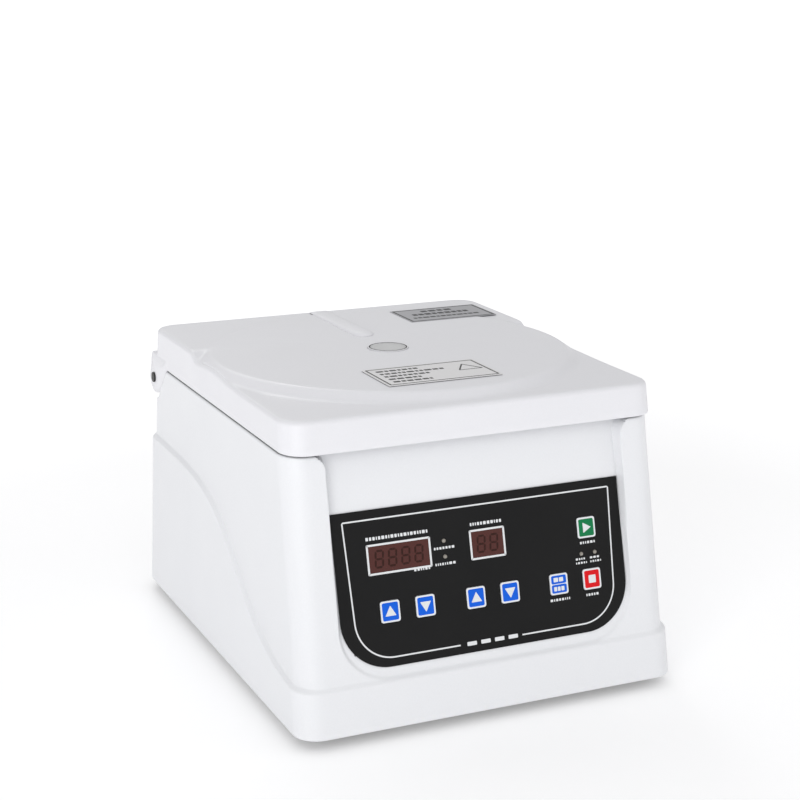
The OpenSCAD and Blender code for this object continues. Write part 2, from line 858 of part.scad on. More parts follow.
module panel_sheet() {
    color([0.12, 0.12, 0.12])
    difference() {
        on_panel() linear_extrude(height = panel_t)
            tray_outline(panel_w / 2, panel_s, panel_s + panel_len, panel_r);
        for (i = [0:6]) {
            key_at(i, -1) linear_extrude(height = 4)
                rounded_rect(key_w + 2 * key_gap, key_h + 2 * key_gap, 1.6 + key_gap);
        }
        on_panel(-1) translate([speed_x - speed_w / 2, disp_s - disp_h / 2, 0]) cube([speed_w, disp_h, 4]);
        on_panel(-1) translate([time_x - time_w / 2, disp_s - disp_h / 2, 0]) cube([time_w, disp_h, 4]);
        for (i = [0:3]) {
            on_panel(-1) translate([lamp_xs[i], lamp_ss[i], 0]) cylinder(r = lamp_r, h = 4);
        }
    }
}

module window_pane(x, w) {
    color([0.35, 0.15, 0.12])
    on_panel(-0.8) translate([x - w / 2, disp_s - disp_h / 2, 0]) cube([w, disp_h, panel_t + 0.8]);
}

module display_window_speed() { window_pane(speed_x, speed_w); }
module display_window_time() { window_pane(time_x, time_w); }

// Seven-segment module: a block on the board under its window
module display_block(x, w) {
    color([0.25, 0.1, 0.1])
    on_panel(board_n + board_t) translate([x - w / 2 + 0.6, disp_s - disp_h / 2 + 0.6, 0])
        cube([w - 1.2, disp_h - 1.2, -board_n - board_t - 1.2]);
}

module display_speed() { display_block(speed_x, speed_w); }
module display_time() { display_block(time_x, time_w); }

module panel_lamps() {
    color([0.75, 0.76, 0.74])
    for (i = [0:3]) {
        on_panel(board_n + board_t) translate([lamp_xs[i], lamp_ss[i], 0]) {
            cylinder(r = lamp_r - 0.1, h = -board_n - board_t + 0.5);
            translate([0, 0, -board_n - board_t + 0.5]) sphere(r = lamp_r - 0.1);
        }
    }
}

module control_board() {
    color([0.1, 0.35, 0.2])
    on_panel(board_n) translate([-window_half + 3, window_s0 + 1, 0])
        cube([2 * window_half - 6, window_s1 - window_s0 - 2, board_t]);
    // stand-offs to the back of the recess wall, outside the opening
    color([0.7, 0.7, 0.72])
    for (sx = [-1, 1], s = [window_s0 + 10, window_s1 - 10]) {
        on_panel(board_n) translate([sx * (window_half - 3), s, 0])
            translate([-5, -3, 0]) cube([10, 6, board_t]);
        on_panel(board_n + board_t) translate([sx * (window_half + 1), s, 0])
            translate([-2, -3, -EPS]) cube([4, 6, -board_n - board_t - wall]);
    }
}

module key_switches() {
    color([0.15, 0.15, 0.16])
    for (i = [0:6]) {
        key_at(i, board_n + board_t) {
            translate([-3, -3, 0]) cube([6, 6, switch_n - board_n - board_t - 0.8]);
            translate([0, 0, switch_n - board_n - board_t - 0.8 - EPS]) cylinder(r = 1.7, h = 0.8);
        }
    }
}

// Key cap: face, hidden retaining skirt and stem
module key(i, shade) {
    color(shade)
    key_at(i) {
        translate([0, 0, -0.5]) linear_extrude(height = panel_t + 0.9)
            rounded_rect(key_w, key_h, 1.6);
        translate([0, 0, -1.4]) linear_extrude(height = 0.9)
            rounded_rect(key_w + 2, key_h + 2, 1.6);
        translate([0, 0, stem_n]) cylinder(r = 1.6, h = -stem_n - 1);
    }
}

key_blue = [0.08, 0.4, 0.86];
module key_speed_up() { key(0, key_blue); }
module key_speed_down() { key(1, key_blue); }
module key_time_up() { key(2, key_blue); }
module key_time_down() { key(3, key_blue); }
module key_mode() { key(4, key_blue); }
module key_stop() { key(5, [0.88, 0.1, 0.13]); }
module key_start() { key(6, [0.05, 0.53, 0.3]); }

// ================= power =================

power_x = -body_w / 2 + 24;
power_y = body_d / 2 - 64;

module power_board() {
    color([0.1, 0.3, 0.16])
    translate([power_x, power_y, guard_low + 6]) {
        cube([50, 34, 1.6]);
        for (dx = [4, 46], dy = [4, 30]) {
            translate([dx, dy, -6]) cylinder(r = 2.5, h = 6);
        }
        translate([10, 6, 1.6]) cube([14, 22, 18]);
        translate([34, 12, 1.6]) cylinder(r = 6, h = 22);
        translate([36, 24, 1.6]) cube([8, 6, 14]);
    }
}

module transformer() {
    color([0.45, 0.33, 0.2])
    translate([body_w / 2 - 70, power_y - 20, guard_low]) {
        cube([44, 36, 36]);
        translate([4, -6, 6]) cube([36, 48, 24]);
    }
}

skin_gap = 0.05;             // flanges lie this far off the rear face
fuse_y = 11.5;
fuse_w = 20;
fuse_hh = 9;

module mains_inlet() {
    color([0.1, 0.1, 0.1])
    on_rear(inlet_x, inlet_z) {
        difference() {
            union() {
                translate([-inlet_w / 2 + 0.2, -inlet_h / 2 + 0.2, -26])
                    cube([inlet_w - 0.4, inlet_h - 0.4, 26 + 2 * skin_gap]);
                translate([-inlet_w / 2 - 4, -inlet_h / 2 - 3, skin_gap])
                    cube([inlet_w + 8, inlet_h + 6, 2]);
            }
            // cavity for the appliance plug
            translate([-12, -15.5, -15]) cube([24, 16.4, 30]);
            // fuse drawer pocket
            translate([-fuse_w / 2 - 0.3, fuse_y - fuse_hh / 2 - 0.3, -20])
                cube([fuse_w + 0.6, fuse_hh + 0.6, 40]);
        }
        color([0.8, 0.8, 0.8])
        for (p = [[-7, -9.3], [7, -9.3], [0, -5.3]]) {
            translate([p[0] - 1, p[1] - 2, -16]) cube([2, 4, 14]);
        }
    }
}

module fuse_drawer() {
    color([0.12, 0.12, 0.12])
    on_rear(inlet_x, inlet_z) difference() {
        translate([-fuse_w / 2, fuse_y - fuse_hh / 2, -19.6]) cube([fuse_w, fuse_hh, 21.8]);
        translate([-fuse_w / 2 + 2, fuse_y - 3, -18]) cube([fuse_w - 4, 12, 14]);
    }
}

rock_deg = 12;

module rocker_frame() {
    color([0.1, 0.1, 0.1])
    on_rear(rocker_x, rocker_z) difference() {
        union() {
            translate([-rocker_w / 2 + 0.2, -rocker_h / 2 + 0.2, -16])
                cube([rocker_w - 0.4, rocker_h - 0.4, 16 + 2 * skin_gap]);
            translate([-rocker_w / 2 - 2, -rocker_h / 2 - 2, skin_gap])
                cube([rocker_w + 4, rocker_h + 4, 2]);
        }
        translate([-rocker_w / 2 + 1.7, -rocker_h / 2 + 1.2, -12]) cube([rocker_w - 3.4, rocker_h - 2.4, 30]);
    }
}

// The rocker turns about an X axis through the frame's mouth
module rocker_switch() {
    color([0.75, 0.12, 0.12])
    on_rear(rocker_x, rocker_z) intersection() {
        translate([0, 0, -1]) rotate([0, 90, 0])
            translate([0, 0, -rocker_w / 2 + 2.1]) cylinder(r = rocker_h / 2 - 1.9, h = rocker_w - 4.2);
        along_x(-rocker_w, rocker_w)
            polygon([[-9, -6], [-9, 2.6], [0, 0.8], [9, 2.6 - 2.2], [9, -6]]);
    }
}

// ================= drawing =================
body_shell();
base_plate();
rubber_feet();
base_screws();
chamber_bowl();
guard_ring();
chamber_seal();
shaft_boot();
motor_housing();
motor_plate();
motor_dampers();
motor_bearings();
motor_armature();
motor_shaft();
rotor_dish();
rotor_nut();
tube_sleeve(0);  // tube_sleeve_1
tube_sleeve(1);  // tube_sleeve_2
tube_sleeve(2);  // tube_sleeve_3
tube_sleeve(3);  // tube_sleeve_4
tube_sleeve(4);  // tube_sleeve_5
tube_sleeve(5);  // tube_sleeve_6
tube_sleeve(6);  // tube_sleeve_7
tube_sleeve(7);  // tube_sleeve_8
lid_cover();
lid_liner();
lid_seal();
sight_glass();
sight_bezel();
lid_hook();
rating_plate();
safety_label();
hinge_pins();
latch_housing();
latch_bolt();
panel_sheet();
display_window_speed();
display_window_time();
display_speed();
display_time();
panel_lamps();
control_board();
key_switches();
key_speed_up();
key_speed_down();
key_time_up();
key_time_down();
key_mode();
key_stop();
key_start();
power_board();
transformer();
mains_inlet();
fuse_drawer();
rocker_frame();
rocker_switch();
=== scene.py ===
# %% [markdown]
# # A bench centrifuge for test tubes
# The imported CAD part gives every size, every moving body and every joint. This file gives the
# machine its looks: the two white mouldings are worked out again as smooth surfaces with soft
# edges, the printing is laid on the control panel, and each piece gets the finish it really has.

# %% Load the frame
import math
import bpy
import numpy as np
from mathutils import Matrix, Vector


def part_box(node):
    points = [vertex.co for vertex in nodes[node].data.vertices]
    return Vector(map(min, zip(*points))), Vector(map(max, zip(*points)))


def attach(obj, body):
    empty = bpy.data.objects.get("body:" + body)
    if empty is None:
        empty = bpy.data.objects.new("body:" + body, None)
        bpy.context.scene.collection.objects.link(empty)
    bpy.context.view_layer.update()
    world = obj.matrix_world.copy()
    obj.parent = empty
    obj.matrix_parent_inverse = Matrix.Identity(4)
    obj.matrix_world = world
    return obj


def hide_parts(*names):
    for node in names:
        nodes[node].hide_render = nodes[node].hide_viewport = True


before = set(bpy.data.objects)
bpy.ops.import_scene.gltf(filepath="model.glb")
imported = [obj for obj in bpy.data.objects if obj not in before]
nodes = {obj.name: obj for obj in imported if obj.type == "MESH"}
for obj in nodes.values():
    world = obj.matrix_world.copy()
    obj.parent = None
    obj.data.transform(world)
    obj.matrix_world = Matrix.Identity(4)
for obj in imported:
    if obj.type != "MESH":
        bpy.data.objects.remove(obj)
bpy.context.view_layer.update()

# %% [markdown]
# ## Sizes
# A maker works from a few datum sizes and derives the rest. The datums come from the boxes of the
# CAD nodes, in millimetres; the drafts and radii of the mouldings are named once here.

# %% Datums
MM = 0.001


def corners(node):
    """The lowest and the highest corner of a CAD node, in millimetres."""
    low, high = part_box(node)
    return np.array(low) / MM, np.array(high) / MM


shell_low, shell_high = corners("body_shell")
bowl_low, bowl_high = corners("chamber_bowl")
pin_low, pin_high = corners("hinge_pins")
BASE_Z, DECK_Z = shell_low[2], shell_high[2]
FRONT_Y, REAR_Y = shell_low[1], shell_high[1]
HALF = shell_high[0]
LID_Z = DECK_Z + 1.2
TOP_Z = corners("rating_plate")[0][2]
AXIS_Y = (bowl_low[1] + bowl_high[1]) / 2
PIVOT_Y = (pin_low[1] + pin_high[1]) / 2
PIVOT_Z = (pin_low[2] + pin_high[2]) / 2
CORNER_R = 17.0
WALL = 3.2
print("housing", HALF * 2, "x", REAR_Y - FRONT_Y, "mm, deck at", DECK_Z, "lid top at", TOP_Z)

# %% [markdown]
# ## Camera and light
# A long lens at a low three-quarter angle keeps the machine's upright lines nearly parallel, as a
# catalogue picture does. The light is what a studio gives a white case: one large soft source on
# the left, weak ones from the right, over the lens and behind, and a bright room all round. What
# the lens sees of the room is white paper, brighter than the light that it gives.

# %% Camera
camera_data = bpy.data.cameras.new("camera")
camera = bpy.data.objects.new("camera", camera_data)
bpy.context.scene.collection.objects.link(camera)
camera_data.sensor_width = 36.0
camera_data.lens = 80.1
camera_data.shift_x = 0.0
camera_data.shift_y = 0.0059
camera_data.clip_start, camera_data.clip_end = 0.05, 60.0
VIEW_TURN, VIEW_DIP = 24.03, 14.73
camera.location = (-0.50575, -1.14775, 0.50508)
camera.rotation_euler = (math.radians(90 - VIEW_DIP), 0, -math.radians(VIEW_TURN))
bpy.context.scene.camera = camera
print("camera at", tuple(camera.location))


# %% Soft studio light
def softbox(name, place, target, size, watts, tint=(1.0, 1.0, 1.0)):
    """A square area light at place, turned so that it faces target."""
    data = bpy.data.lights.new(name, "AREA")
    data.size, data.energy, data.color = size, watts, tint
    lamp = bpy.data.objects.new(name, data)
    bpy.context.scene.collection.objects.link(lamp)
    lamp.location = place
    aim = np.array(target) - np.array(place)
    turn = math.atan2(aim[1], aim[0]) - math.pi / 2
    dip = math.atan2(aim[2], math.hypot(aim[0], aim[1]))
    lamp.rotation_euler = (math.pi / 2 + dip, 0, turn)
    return lamp


softbox("key_light", (-2.0, -2.1, 0.95), (0, 0, 0.1), 1.2, 23)
softbox("side_light", (2.2, -1.2, 1.2), (0, 0, 0.1), 1.2, 4)
softbox("front_light", (-0.5, -1.9, 1.7), (0, 0, 0.15), 1.0, 3)
softbox("back_light", (0.3, 2.4, 2.0), (0, 0, 0.1), 1.0, 8)
world = bpy.data.worlds.new("room")
bpy.context.scene.world = world
world.use_nodes = True
ROOM_LIGHT, ROOM_SEEN = 0.67, 1.0
room = world.node_tree
ray = room.nodes.new("ShaderNodeLightPath")
seen = room.nodes.new("ShaderNodeMapRange")
seen.inputs["To Min"].default_value, seen.inputs["To Max"].default_value = ROOM_LIGHT, ROOM_SEEN
room.links.new(ray.outputs["Is Camera Ray"], seen.inputs["Value"])
room.links.new(seen.outputs["Result"], room.nodes["Background"].inputs["Strength"])
room.nodes["Background"].inputs["Color"].default_value = (1.0, 1.0, 1.0, 1.0)
bpy.context.scene.view_settings.view_transform = "Standard"

# %% [markdown]
# ## Finishes
# Every material starts from a real one. One function turns a colour written as on a paint card into
# the renderer's linear numbers, one adds a node, and one lays the two patterns that any moulded or
# rolled surface has: a fine grain that catches the light, and a slow drift in how shiny it is.


# %% Material tools
def card(code):
    """Linear colour of an sRGB hex code: each part over 255, then the sRGB curve undone."""
    part = np.array([int(code[i:i + 2], 16) for i in (0, 2, 4)]) / 255
    linear = np.where(part <= 0.04045, part / 12.92, ((part + 0.055) / 1.055) ** 2.4)
    return (*map(float, linear), 1.0)


def add(tree, kind, values=None, **settings):
    """Adds one node: settings go on the node, values on its sockets, and a socket links."""
    node = tree.nodes.new(kind)
    for key, value in settings.items():
        setattr(node, key, value)
    for key, value in (values or {}).items():
        if isinstance(value, bpy.types.NodeSocket):
            tree.links.new(value, node.inputs[key])
        else:
            node.inputs[key].default_value = value
    return node


def blank(name):
    """A new material with its tree emptied to the shader and the output."""
    made = bpy.data.materials.new(name)
    made.use_nodes = True
    return made, made.node_tree, made.node_tree.nodes["Principled BSDF"]


def finish_of(name, code, rough, grain_mm, depth_mm, metal=0.0, drift=0.06, stretch=(1, 1, 1),
              tone=0.05, patch_mm=45.0, joint_mm=0.0, **sockets):
    """A solid finish: fine grain as a bump and in the colour, and slow patches that move the
    roughness.

    Near another surface, within the given distance, the colour falls to a third: painted shade for
    the shadow that falls in gaps and creases."""
    made, tree, shader = blank(name)
    shader.inputs["Metallic"].default_value = metal
    for key, value in sockets.items():
        shader.inputs[key.replace("_", " ")].default_value = value
    where = add(tree, "ShaderNodeTexCoord")
    laid = add(tree, "ShaderNodeMapping", {"Vector": where.outputs["Object"], "Scale": stretch})
    grain = add(tree, "ShaderNodeTexNoise", {"Vector": laid.outputs["Vector"],
                                             "Scale": 1 / (grain_mm * MM), "Detail": 3.0,
                                             "Roughness": 0.6})
    patch = add(tree, "ShaderNodeTexNoise", {"Vector": where.outputs["Object"],
                                             "Scale": 1 / (patch_mm * MM), "Detail": 2.0})
    bump = add(tree, "ShaderNodeBump", {"Height": grain.outputs["Fac"], "Strength": 0.6,
                                        "Distance": depth_mm * MM})
    shade = add(tree, "ShaderNodeMapRange", {"Value": patch.outputs["Fac"], "From Min": 0.3,
                                             "From Max": 0.7, "To Min": max(0.02, rough - drift),
                                             "To Max": min(1.0, rough + drift)})
    base = card(code)
    dull = tuple(c * (1 - tone) for c in base[:3]) + (1.0,)
    blend = add(tree, "ShaderNodeMixRGB", {"Fac": grain.outputs["Fac"], "Color1": dull,
                                           "Color2": base})
    tree.links.new(bump.outputs["Normal"], shader.inputs["Normal"])
    tree.links.new(shade.outputs["Result"], shader.inputs["Roughness"])
    colour = blend.outputs["Color"]
    # painted shade: ambient occlusion darkens the colour to a third in gaps and creases, where
    # shadow falls
    if joint_mm:
        nook = add(tree, "ShaderNodeAmbientOcclusion", {"Distance": joint_mm * MM}, samples=6)
        painted_shade = add(tree, "ShaderNodeMapRange", {"Value": nook.outputs["AO"], "From Min": 0.2,
                                                     "From Max": 0.65, "To Min": 0.3})
        colour = add(tree, "ShaderNodeMixRGB", {"Fac": 1.0, "Color1": colour,
                                                "Color2": painted_shade.outputs["Result"]},
                     blend_type="MULTIPLY").outputs["Color"]
    tree.links.new(colour, shader.inputs["Base Color"])
    return made


# %% [markdown]
# ### Moulded plastics, rubber and paint
# The case is white ABS from a spark-eroded mould, which leaves a fine even grain and a soft sheen.
# The panel skin is polycarbonate film with a velvet face. Rubber is dark and nearly dull. Powder
# coat has a coarse orange peel. The grain of the case is about 0.6 mm, drawn at 1.1 mm so it shows.

# %% Plastic, rubber and paint
# name: colour, roughness, grain in mm, depth of the grain in mm, and what else differs
solids = {
    # case plastic from a spark-eroded mould: an even fine grain under a soft sheen, and painted
    # shade in its gaps and creases
    "spark_eroded_abs": ("E8E9EC", 0.42, 1.1, 0.05, dict(tone=0.06, joint_mm=8.0)),
    # the lid's finer mould: the same white, a touch glossier, and painted shade in its gaps and
    # creases
    "satin_abs": ("E6E6EA", 0.40, 1.0, 0.04, dict(tone=0.05, joint_mm=8.0)),
    # sheet drawn over a form: a slow, shallow waviness
    "vacuum_formed_abs": ("DEDEE1", 0.35, 3.0, 0.05, dict(tone=0.03)),
    # velvet polycarbonate: nearly black, and hardly any gloss
    "velvet_film": ("121213", 0.6, 0.8, 0.05, dict(tone=0.4, Specular_IOR_Level=0.22)),
    # filled nylon: black with a dull, slightly uneven skin
    "black_nylon": ("161617", 0.45, 0.7, 0.04, dict(tone=0.25)),
    # rubber: dull, and greyer where it was handled
    "moulded_rubber": ("141414", 0.78, 0.9, 0.06, dict(tone=0.3)),
    # powder coats: a coarse orange peel that breaks up the gloss
    "black_powder_coat": ("1F2022", 0.5, 1.6, 0.08, dict(tone=0.2)),
    "grey_powder_coat": ("5A5C60", 0.5, 1.6, 0.08, dict(tone=0.15)),
    # domed key film, printed from behind: pure colours under a clear satin skin
    "white_key_film": ("E6E8EC", 0.35, 0.8, 0.03, {}),
    "blue_key_film": ("005FDC", 0.35, 0.8, 0.03, dict(tone=0.1, Specular_IOR_Level=0.25)),
    "red_key_film": ("DC0816", 0.35, 0.8, 0.03, dict(tone=0.1, Specular_IOR_Level=0.25)),
    "green_key_film": ("037846", 0.35, 0.8, 0.03, dict(tone=0.1, Specular_IOR_Level=0.25)),
    # screen inks: flat, with the weave of the screen as a faint mottle
    "white_screen_ink": ("E4E6E8", 0.5, 0.5, 0.02, dict(tone=0.12)),
    "black_screen_ink": ("2A2A2C", 0.5, 0.5, 0.02, dict(tone=0.2)),
    # vinyl label stock: plain and papery
    "paper_vinyl": ("E0DFE0", 0.55, 0.6, 0.02, dict(tone=0.03)),
    # cloudy epoxy of an unlit lamp: grey with a glossy dome
    "lamp_epoxy": ("9A958C", 0.25, 0.9, 0.02, dict(tone=0.2)),
    # solder mask over glass cloth: green, with the weave just showing
    "glass_epoxy_board": ("175C36", 0.4, 0.7, 0.03, dict(tone=0.25)),
    # switch bodies: charcoal, plain
    "switch_nylon": ("303234", 0.5, 0.7, 0.03, dict(tone=0.2)),
    # polished rocker: a clear red gloss
    "red_rocker_plastic": ("B81820", 0.3, 0.8, 0.02, dict(tone=0.1)),
    # resin round the digits: a dark red that kills reflections
    "display_potting": ("3A1512", 0.45, 0.7, 0.02, dict(tone=0.2)),
    # a bar of an unlit digit: a little darker than the filter over it
    "unlit_segment": ("34160F", 0.5, 0.6, 0.02, dict(tone=0.15, Specular_IOR_Level=0.2)),
}
finishes = {name: finish_of(name, *values, **more) for name, (*values, more) in solids.items()}
print("plastics and paints", len(finishes))

# %% [markdown]
# ### Metals
# A metal shows its tool marks. Rolled and brushed steel has hair lines one way, cast aluminium a
# dull sandy skin, zinc plate a cloudy spangle. The default index of refraction is kept.

# %% Metals
metals = {
    # long hair lines that stretch a highlight
    "brushed_stainless": ("B9BBBE", 0.3, 0.9, 0.02, dict(stretch=(1, 1, 0.06), tone=0.12)),
    # bright zinc: a cloudy spangle
    "zinc_plate": ("B4B6B8", 0.34, 2.2, 0.02, dict(tone=0.15)),
    # ground round its axis: fine bright rings
    "ground_steel": ("C2C3C5", 0.22, 0.7, 0.01, dict(stretch=(1, 1, 12), tone=0.1)),
    # sand-cast skin: dull and pitted
    "cast_aluminium": ("8F9194", 0.5, 1.3, 0.08, dict(tone=0.15)),
    # metallised label stock under a clear coat: silver without a mirror
    "silver_foil_label": ("A9A9AD", 0.42, 0.6, 0.01, dict(metal=0.35, tone=0.06)),
    # oil-blacked steel: dark, with a low metal glint
    "blackened_steel": ("232325", 0.36, 0.8, 0.02, dict(metal=0.8, tone=0.2)),
    # windings: brown lacquer over wire that runs lengthways
    "lacquered_copper": ("9A5430", 0.3, 0.8, 0.1, dict(stretch=(0.2, 0.2, 1), tone=0.3)),
    # a stack of dark iron sheets, seen edge on
    "laminated_iron": ("4A4034", 0.5, 0.9, 0.1,
                       dict(metal=0.6, stretch=(0.05, 0.05, 1), tone=0.4)),
}
finishes.update({name: finish_of(name, *values, **{"metal": 1.0, **more})
                 for name, (*values, more) in metals.items()})


def turned_alloy(name, code, rough, pitch_mm, mark_mm):
    """Aluminium turned on a lathe: the height runs in rings, a 1-D noise of the distance from the
    spindle, at the tool's feed; dark anodised, so the ring marks show as fine bright lines."""
    made, tree, shader = blank(name)
    shader.inputs["Metallic"].default_value = 1.0
    where = add(tree, "ShaderNodeTexCoord")
    centred = add(tree, "ShaderNodeMapping", {"Vector": where.outputs["Object"],
                                              "Location": (0, -AXIS_Y * MM, 0), "Scale": (1, 1, 0)})
    out = add(tree, "ShaderNodeVectorMath", {0: centred.outputs["Vector"]}, operation="LENGTH")
    rings = add(tree, "ShaderNodeTexNoise", {"W": out.outputs["Value"], "Detail": 2.0,
                                             "Scale": 1 / (pitch_mm * MM)}, noise_dimensions="1D")
    speck = add(tree, "ShaderNodeTexNoise", {"Vector": where.outputs["Object"], "Detail": 2.0,
                                             "Scale": 1 / (2.5 * MM)})
    both = add(tree, "ShaderNodeMixRGB", {"Fac": 0.25, "Color1": rings.outputs["Color"],
                                          "Color2": speck.outputs["Color"]})
    bump = add(tree, "ShaderNodeBump", {"Height": both.outputs["Color"], "Strength": 0.5,
                                        "Distance": mark_mm * MM})
    gloss = add(tree, "ShaderNodeMapRange", {"Value": both.outputs["Color"], "From Min": 0.3,
                                             "From Max": 0.7, "To Min": rough - 0.08,
                                             "To Max": rough + 0.1})
    base = card(code)
    shade = add(tree, "ShaderNodeMixRGB", {"Fac": rings.outputs["Fac"], "Color2": base,
                                           "Color1": tuple(c * 0.6 for c in base[:3]) + (1.0,)})
    tree.links.new(bump.outputs["Normal"], shader.inputs["Normal"])
    tree.links.new(gloss.outputs["Result"], shader.inputs["Roughness"])
    tree.links.new(shade.outputs["Color"], shader.inputs["Base Color"])
    return made


# dark anodised and turned: rings of fine light lines round the spindle
finishes["turned_dark_alloy"] = turned_alloy("turned_dark_alloy", "4C4D50", 0.34, 0.9, 0.03)
# drawn tube, dark anodised: smooth, with a narrow highlight along it
finishes["anodised_sleeve"] = finish_of("anodised_sleeve", "3E3F42", 0.3, 0.7, 0.02, metal=1.0,
                                        tone=0.2)
print("metals", [n for n in finishes if "steel" in n or "alloy" in n])

# %% [markdown]
# ### Clear and tinted sheet
# The sight window is clear acrylic, and the displays lie behind dark red filter acrylic, which is
# nearly opaque when the digits are off. Both are cast sheet: smooth, with a very slight ripple.


# %% Acrylics
def cast_acrylic(name, code, clear, rough, ripple_mm):
    """Cast acrylic sheet, IOR 1.49: part of the light passes, and a slow ripple bends the gloss."""
    made, tree, shader = blank(name)
    shader.inputs["IOR"].default_value = 1.49
    shader.inputs["Transmission Weight"].default_value = clear
    where = add(tree, "ShaderNodeTexCoord")
    ripple = add(tree, "ShaderNodeTexNoise", {"Vector": where.outputs["Object"], "Detail": 1.0,
                                              "Scale": 1 / (ripple_mm * MM)})
    bump = add(tree, "ShaderNodeBump", {"Height": ripple.outputs["Fac"], "Strength": 0.3,
                                        "Distance": 0.05 * MM})
    dust = add(tree, "ShaderNodeMapRange", {"Value": ripple.outputs["Fac"], "From Min": 0.35,
                                            "From Max": 0.65, "To Min": rough,
                                            "To Max": rough + 0.06})
    base = card(code)
    tint = add(tree, "ShaderNodeMixRGB", {"Fac": ripple.outputs["Fac"], "Color2": base,
                                          "Color1": tuple(c * 0.9 for c in base[:3]) + (1.0,)})
    tree.links.new(bump.outputs["Normal"], shader.inputs["Normal"])
    tree.links.new(dust.outputs["Result"], shader.inputs["Roughness"])
    tree.links.new(tint.outputs["Color"], shader.inputs["Base Color"])
    return made


# a pale pane that still mirrors the room a little
finishes["clear_acrylic"] = cast_acrylic("clear_acrylic", "F0F1F2", 0.4, 0.08, 18.0)
# dark red filter: brown-red, with a gloss over it
finishes["red_filter_acrylic"] = cast_acrylic("red_filter_acrylic", "4C1F19", 0.0, 0.12, 14.0)
print("acrylics made")

# %% [markdown]
# ## Surfaces from arrays
# A moulding is a skin. Each new piece here is a grid of points: one direction runs round a closed
# path, the other across its section. If the section closes on itself, the skin is a ring-like
# solid, such as a wall with its inside; if it ends, the two ends are capped.


# %% Surface tools
def ease(t):
    """Smooth step: 0 before 0, 1 after 1, and t*t*(3-2t) between."""
    t = np.clip(t, 0, 1)
    return t * t * (3 - 2 * t)


def grid_faces(rows, columns, closed):
    """Four corners of each cell of a grid whose columns wrap, and whose rows wrap if closed."""
    r, c = np.meshgrid(np.arange(rows if closed else rows - 1), np.arange(columns), indexing="ij")
    r2, c2 = (r + 1) % rows, (c + 1) % columns
    return np.stack([r * columns + c, r * columns + c2, r2 * columns + c2, r2 * columns + c],
                    -1).reshape(-1, 4)


def volume_sign(points, faces):
    """Sign of the closed skin's volume: the sum of the triple products of its triangles."""
    a, b, c, d = (points[faces[:, k]] for k in range(4))
    total = np.einsum("ij,ij->i", a, np.cross(b, c)).sum()
    return total + np.einsum("ij,ij->i", a, np.cross(c, d)).sum()


def shade_smooth(mesh, sharp):
    """Smooth shading, broken at every edge that turns by more than sharp degrees."""
    mesh.polygons.foreach_set("use_smooth", np.ones(len(mesh.polygons), bool))
    mesh.set_sharp_from_angle(angle=math.radians(sharp))


def skin(name, grids, material, body, closed=True, sharp=32.0):
    """One mesh from grids of points (rows, columns, 3) in mm, turned so that faces point out."""
    points, polygons, start = [], [], 0
    for grid in grids:
        grid = np.asarray(grid, float)
        rows, columns = grid.shape[:2]
        flat = grid.reshape(-1, 3)
        quads = grid_faces(rows, columns, closed)
        centre = flat - flat.mean(0)
        last = (rows - 1) * columns + np.arange(columns)
        caps = [] if closed else [np.arange(columns)[::-1], last]
        if volume_sign(centre, quads) + sum(fan_volume(centre, c) for c in caps) < 0:
            quads, caps = quads[:, ::-1], [c[::-1] for c in caps]
        points.append(flat)
        polygons += (quads + start).tolist() + [(c + start).tolist() for c in caps]
        start += len(flat)
    mesh = bpy.data.meshes.new(name)
    mesh.from_pydata((np.concatenate(points) * MM).tolist(), [], polygons)
    shade_smooth(mesh, sharp)
    mesh.materials.append(finishes[material])
    made = bpy.data.objects.new(name, mesh)
    bpy.context.scene.collection.objects.link(made)
    if body:
        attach(made, body)
    print(name, len(mesh.vertices), "points,", len(mesh.polygons), "faces")
    return made


def fan_volume(points, loop):
    """Part of the volume under a flat cap: triangles from its first point."""
    a = points[loop[0]]
    return float((np.cross(points[loop[1:-1]], points[loop[2:]]) @ a).sum())


# %% [markdown]
# ### The outline of the case
# Housing and lid share one plan: a rectangle with round corners. Each point of the path is four
# numbers: how far across its centre lies, how far back, and the way its normal points. The same
# path then serves every height, because width, front and rear are functions of height.


# %% Plan path
def plan_path(front, side, rear, turn):
    """Columns round the plan: front, right corner, right side, and so on back to the start."""
    a = np.linspace(0, math.pi / 2, turn)
    one, sn, cs = np.ones(turn), np.sin(a), np.cos(a)
    o = np.ones_like
    legs = [(front, 0 * front, 0 * front, -o(front)), (one, 0 * a, sn, -cs),
            (o(side), side, o(side), 0 * side), (one, one, cs, sn),
            (-rear, o(rear), 0 * rear, o(rear)), (-one, one, -sn, cs),
            (-o(side), side[::-1], -o(side), 0 * side), (-one, 0 * a, -cs, -sn)]
    return np.concatenate([np.stack(leg) for leg in legs], 1)


def plan_point(path, half, front, back, inset):
    """Across and back: the plan's corner centre plus (corner radius - inset) along the normal."""
    cx, ty, nx, ny = path
    x = cx * (half - CORNER_R) + (CORNER_R - inset) * nx
    y = front + CORNER_R + ty * (back - front - 2 * CORNER_R) + (CORNER_R - inset) * ny
    return x, y


def rise(z):
    """Height above the foot of the case."""
    return z - BASE_Z


SIDE_STEP, SKIRT_STEP = 2.7, 1.5
DRAFT_UP, DRAFT_LOW, FRONT_LEAN, REAR_LEAN = 0.0111, 0.009, 0.192, 0.112


def half_up(z):
    """Half width above the step: the draft takes DRAFT_UP mm off per mm of height."""
    return HALF - SIDE_STEP - DRAFT_UP * rise(z)


def half_low(z):
    """Half width below the step, with its own draft."""
    return HALF - DRAFT_LOW * rise(z)


def front_low(z):
    """The front leans back by FRONT_LEAN mm for each mm of height."""
    return FRONT_Y + FRONT_LEAN * rise(z)


def front_up(z):
    """The front above the skirt, a step further back."""
    return front_low(z) + SKIRT_STEP


def rear(z):
    """The rear leans forward by REAR_LEAN mm for each mm of height."""
    return REAR_Y - REAR_LEAN * rise(z)


def step_at(y):
    """Height of the step on the side wall: a logistic S from the skirt up towards the rear."""
    return BASE_Z + 29.5 + 93 / (1 + np.exp(-(y + 47.1) / 30))


